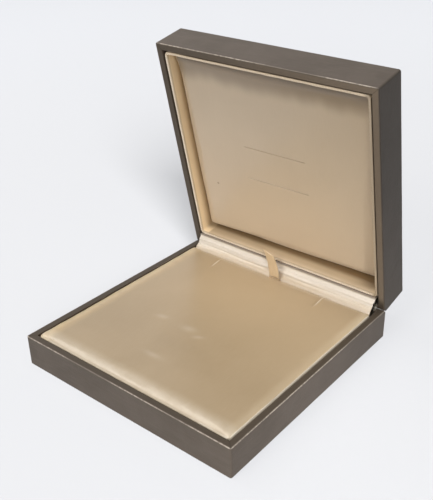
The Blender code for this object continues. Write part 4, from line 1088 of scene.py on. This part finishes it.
pullRibbonTab = dressTab()
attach(pullRibbonTab, "pull_tab")
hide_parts("pull_ribbon_tab")
ribbon["long"] + ribbon["short"]
print("ribbon made")

# Snap springs, which bend with the lid
spring = dict(inMm(width=9.0, thick=0.4, edge=0.08, footLow=11, footTop=5, bow=0.9, gap=0.3, leaf=0.5,
                   leafGap=0.3),
              fromMiddle=0.5 * (halfX - 7.0 * mm))


def dressSprings():
    size = spring
    footY = halfY - case["rim"] - size["leafGap"] - size["leaf"] - size["gap"] - size["thick"] / 2
    low = Vector((0, footY, baseHeight - size["footLow"]))
    start = Vector((0, footY, baseHeight - size["footTop"]))
    end = lidPlace @ Vector((0, footY, lidHeight - size["footTop"]))
    high = lidPlace @ Vector((0, footY, lidHeight - size["footLow"]))
    reach, into = (end - start).length, (high - end).normalized()
    away = Vector((0, -into.z, into.y))
    first = start + Vector((0, -size["bow"], reach / 2))
    second = end - into * reach / 2 + away * size["bow"]
    line = [low] + [
        (1 - t) ** 3 * start + 3 * (1 - t) ** 2 * t * first + 3 * (1 - t) * t * t * second + t ** 3 * end
        for t in [k / 16 for k in range(17)]] + [high]
    for side, sign in (("Left", -1), ("Right", 1)):
        bm = bmesh.new()
        row = [bm.verts.new(low + Vector((sign * size["fromMiddle"] + s * size["width"] / 2, 0, 0)))
               for s in (-1, 1)]
        current = [bm.edges.new(row)]
        for before, after in zip(line, line[1:]):
            made = bmesh.ops.extrude_edge_only(bm, edges=current)["geom"]
            verts = only(BMVert, made)
            bmesh.ops.translate(bm, vec=after - before, verts=verts)
            current = [e for e in only(BMEdge, made) if all(v in verts for v in e.verts)]
        piece = finishPiece(bm, f"snapSpring{side}", springSteel)
        addModifier(piece, "SOLIDIFY", thickness=size["thick"], offset=0)
        addModifier(piece, "BEVEL", width=size["edge"], segments=2, limit_method="ANGLE")
        settle(piece)
        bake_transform(piece, "base", "lid", start=start, end=end)
        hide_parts(f"hinge_spring_{side.lower()}")


dressSprings()

# The carried-over nodes get the finish of their slot
slotFinish = {
    "board": fibreboard, "card": greyCard, "foam": foam, "liner": feltPaper, "steel": springSteel,
    "brass": brassPlate, "satin": liningSatin, "gusset_satin": liningSatin, "ribbon": ribbonSatin,
    "leatherette": baseSkin}
slotOf = {part["node"]: part["material_slot"] for part in frame["record"]["subparts"]}
for name, node in frame["nodes"].items():
    node.data.materials.clear()
    node.data.materials.append(slotFinish[slotOf[name]])
print("nodes finished")

# Floor, backdrop, light and camera
studio = dict(
    floorHalf=4.0, floorDrop=0.3 * mm, nearTo=250.0, farFrom=1300.0,
    floorTone=(0.135, 0.135, 0.135, 1), floorSeen=(0.14, 0.14, 0.143, 1), floorCloud=(0.14, 0.143, 0.152, 1),
    floorGlow=(0.275, 0.281, 0.294, 1), farGlow=(0.335, 0.347, 0.370, 1),
    lidSun=15.0, boxSun=4.5, sunSpread=26, sunFrom=(1.05, -1.05, 0.90),
    sky=(0.850, 0.860, 0.880, 1), skyLight=0.12, lampTone=(1.0, 0.988, 0.972))
lamps = dict(
    topBox=dict(place=(-0.20, -0.20, 1.50), aim=(0, 0, 0.0), power=7.0, size=1.0),
    frontBox=dict(place=(-0.10, -1.35, 1.15), aim=(0, 0, 0.10), power=18.5, size=0.8),
    keyBox=dict(place=(1.05, -1.05, 1.00), aim=(0, 0, 0.05), power=0.4, size=0.55),
    sheenBox=dict(place=(-1.25, 0.85, 1.00), aim=(-0.03, -0.03, 0.03), power=0.2, size=0.7),
    rollBox=dict(place=(-0.90, -0.18, 1.20), aim=(-0.03, -0.09, 0.03), power=3.8, size=0.45),
    edgeBox=dict(place=(0.55, 1.00, 1.05), aim=(0.05, 0, 0.03), power=1.0, size=0.5),
    lowCard=dict(place=(0.66, -0.42, 0.06), aim=(0.09, 0, -0.03), power=0.092, size=0.12, spread=26))


def addToScene(name, data):
    holder = bpy.data.objects.new(name, data)
    bpy.context.scene.collection.objects.link(holder)
    return holder


def turnToward(holder, way):
    holder.rotation_euler = Vector(way).to_track_quat("-Z", "Y").to_euler()


def dressFloor():
    shade = Finish("paleFloor", Roughness=0.8, Specular_IOR_Level=0.15, Base_Color=studio["floorTone"])
    cloud = shade.noise(shade.place(), 0.004, 2.0) * 0.06
    away = shade.vector("LENGTH", {0: shade.place()}, out="Value").band(studio["nearTo"], studio["farFrom"])
    seen = shade.node("ShaderNodeAddShader", None, {
        0: shade.node("ShaderNodeBsdfDiffuse", None, {
            "Color": shade.mix(cloud, studio["floorSeen"], studio["floorCloud"])}),
        1: shade.node("ShaderNodeEmission", None, {
            "Color": shade.mix(away, studio["floorGlow"], studio["farGlow"])})})
    shade.show(shade.node("ShaderNodeMixShader", None, {
        0: shade.cameraOrGloss(), 1: Wire(shade, shade.shader.outputs[0]), 2: seen}))
    bm = bmesh.new()
    bmesh.ops.create_grid(bm, x_segments=8, y_segments=8, size=studio["floorHalf"])
    floor = finishPiece(bm, "floor", shade.material, Matrix.Translation((0, 0, -studio["floorDrop"])))
    return floor


def dressSuns(floor):
    # two lamps light the floor alone: the lid stops the first, so that its soft shadow lies behind it on the
    # left, and the whole box stops the weaker second, so that it stands on the floor
    lit = bpy.data.collections.new("litBySun")
    lit.objects.link(floor)
    for name, power in (("lidShadowSun", studio["lidSun"]), ("boxShadowSun", studio["boxSun"])):
        sun = bpy.data.lights.new(name, "SUN")
        sun.energy, sun.angle = power, radians(studio["sunSpread"])
        holder = addToScene(name, sun)
        turnToward(holder, -Vector(studio["sunFrom"]))
        holder.light_linking.receiver_collection = lit
        if name == "lidShadowSun":
            stopping = bpy.data.collections.new("stopsSun")
            stopping.objects.link(lidShell)
            holder.light_linking.blocker_collection = stopping


def dressWorld():
    world = bpy.data.worlds.new("studio")
    bpy.context.scene.world = world
    shade = Shade(world)
    shade.nodes.remove(shade.nodes["Background"])
    light, seen = (shade.node("ShaderNodeBackground", None, {"Color": colour, "Strength": strength})
                   for colour, strength in (((1, 1, 1, 1), studio["skyLight"]), (studio["sky"], 1.0)))
    shade.show(shade.node("ShaderNodeMixShader", None, {0: shade.cameraOrGloss(), 1: light, 2: seen}))


def dressLamps():
    for name, made in lamps.items():
        lamp = bpy.data.lights.new(name, "AREA")
        lamp.energy, lamp.size, lamp.shape = made["power"], made["size"], "DISK"
        lamp.color, lamp.spread = studio["lampTone"], radians(made.get("spread", 180))
        holder = addToScene(name, lamp)
        holder.location = made["place"]
        turnToward(holder, Vector(made["aim"]) - Vector(made["place"]))


camera = dict(place=(0.31196, -0.35839, 0.34596), turn=(61.8536, -0.2897, 37.1846), lens=55.0154,
              sensor=36.0, shift=(-0.0802, -0.0154), clip=(0.01, 20))


def dressCamera():
    lens = bpy.data.cameras.new("view")
    lens.lens, lens.sensor_width = camera["lens"], camera["sensor"]
    lens.shift_x, lens.shift_y = camera["shift"]
    lens.clip_start, lens.clip_end = camera["clip"]
    holder = addToScene("view", lens)
    holder.location = camera["place"]
    holder.rotation_euler = [radians(angle) for angle in camera["turn"]]
    bpy.context.scene.camera = holder


dressSuns(dressFloor())
dressWorld()
dressLamps()
dressCamera()
bpy.context.scene.view_settings.view_transform = "Standard"
print("studio made")
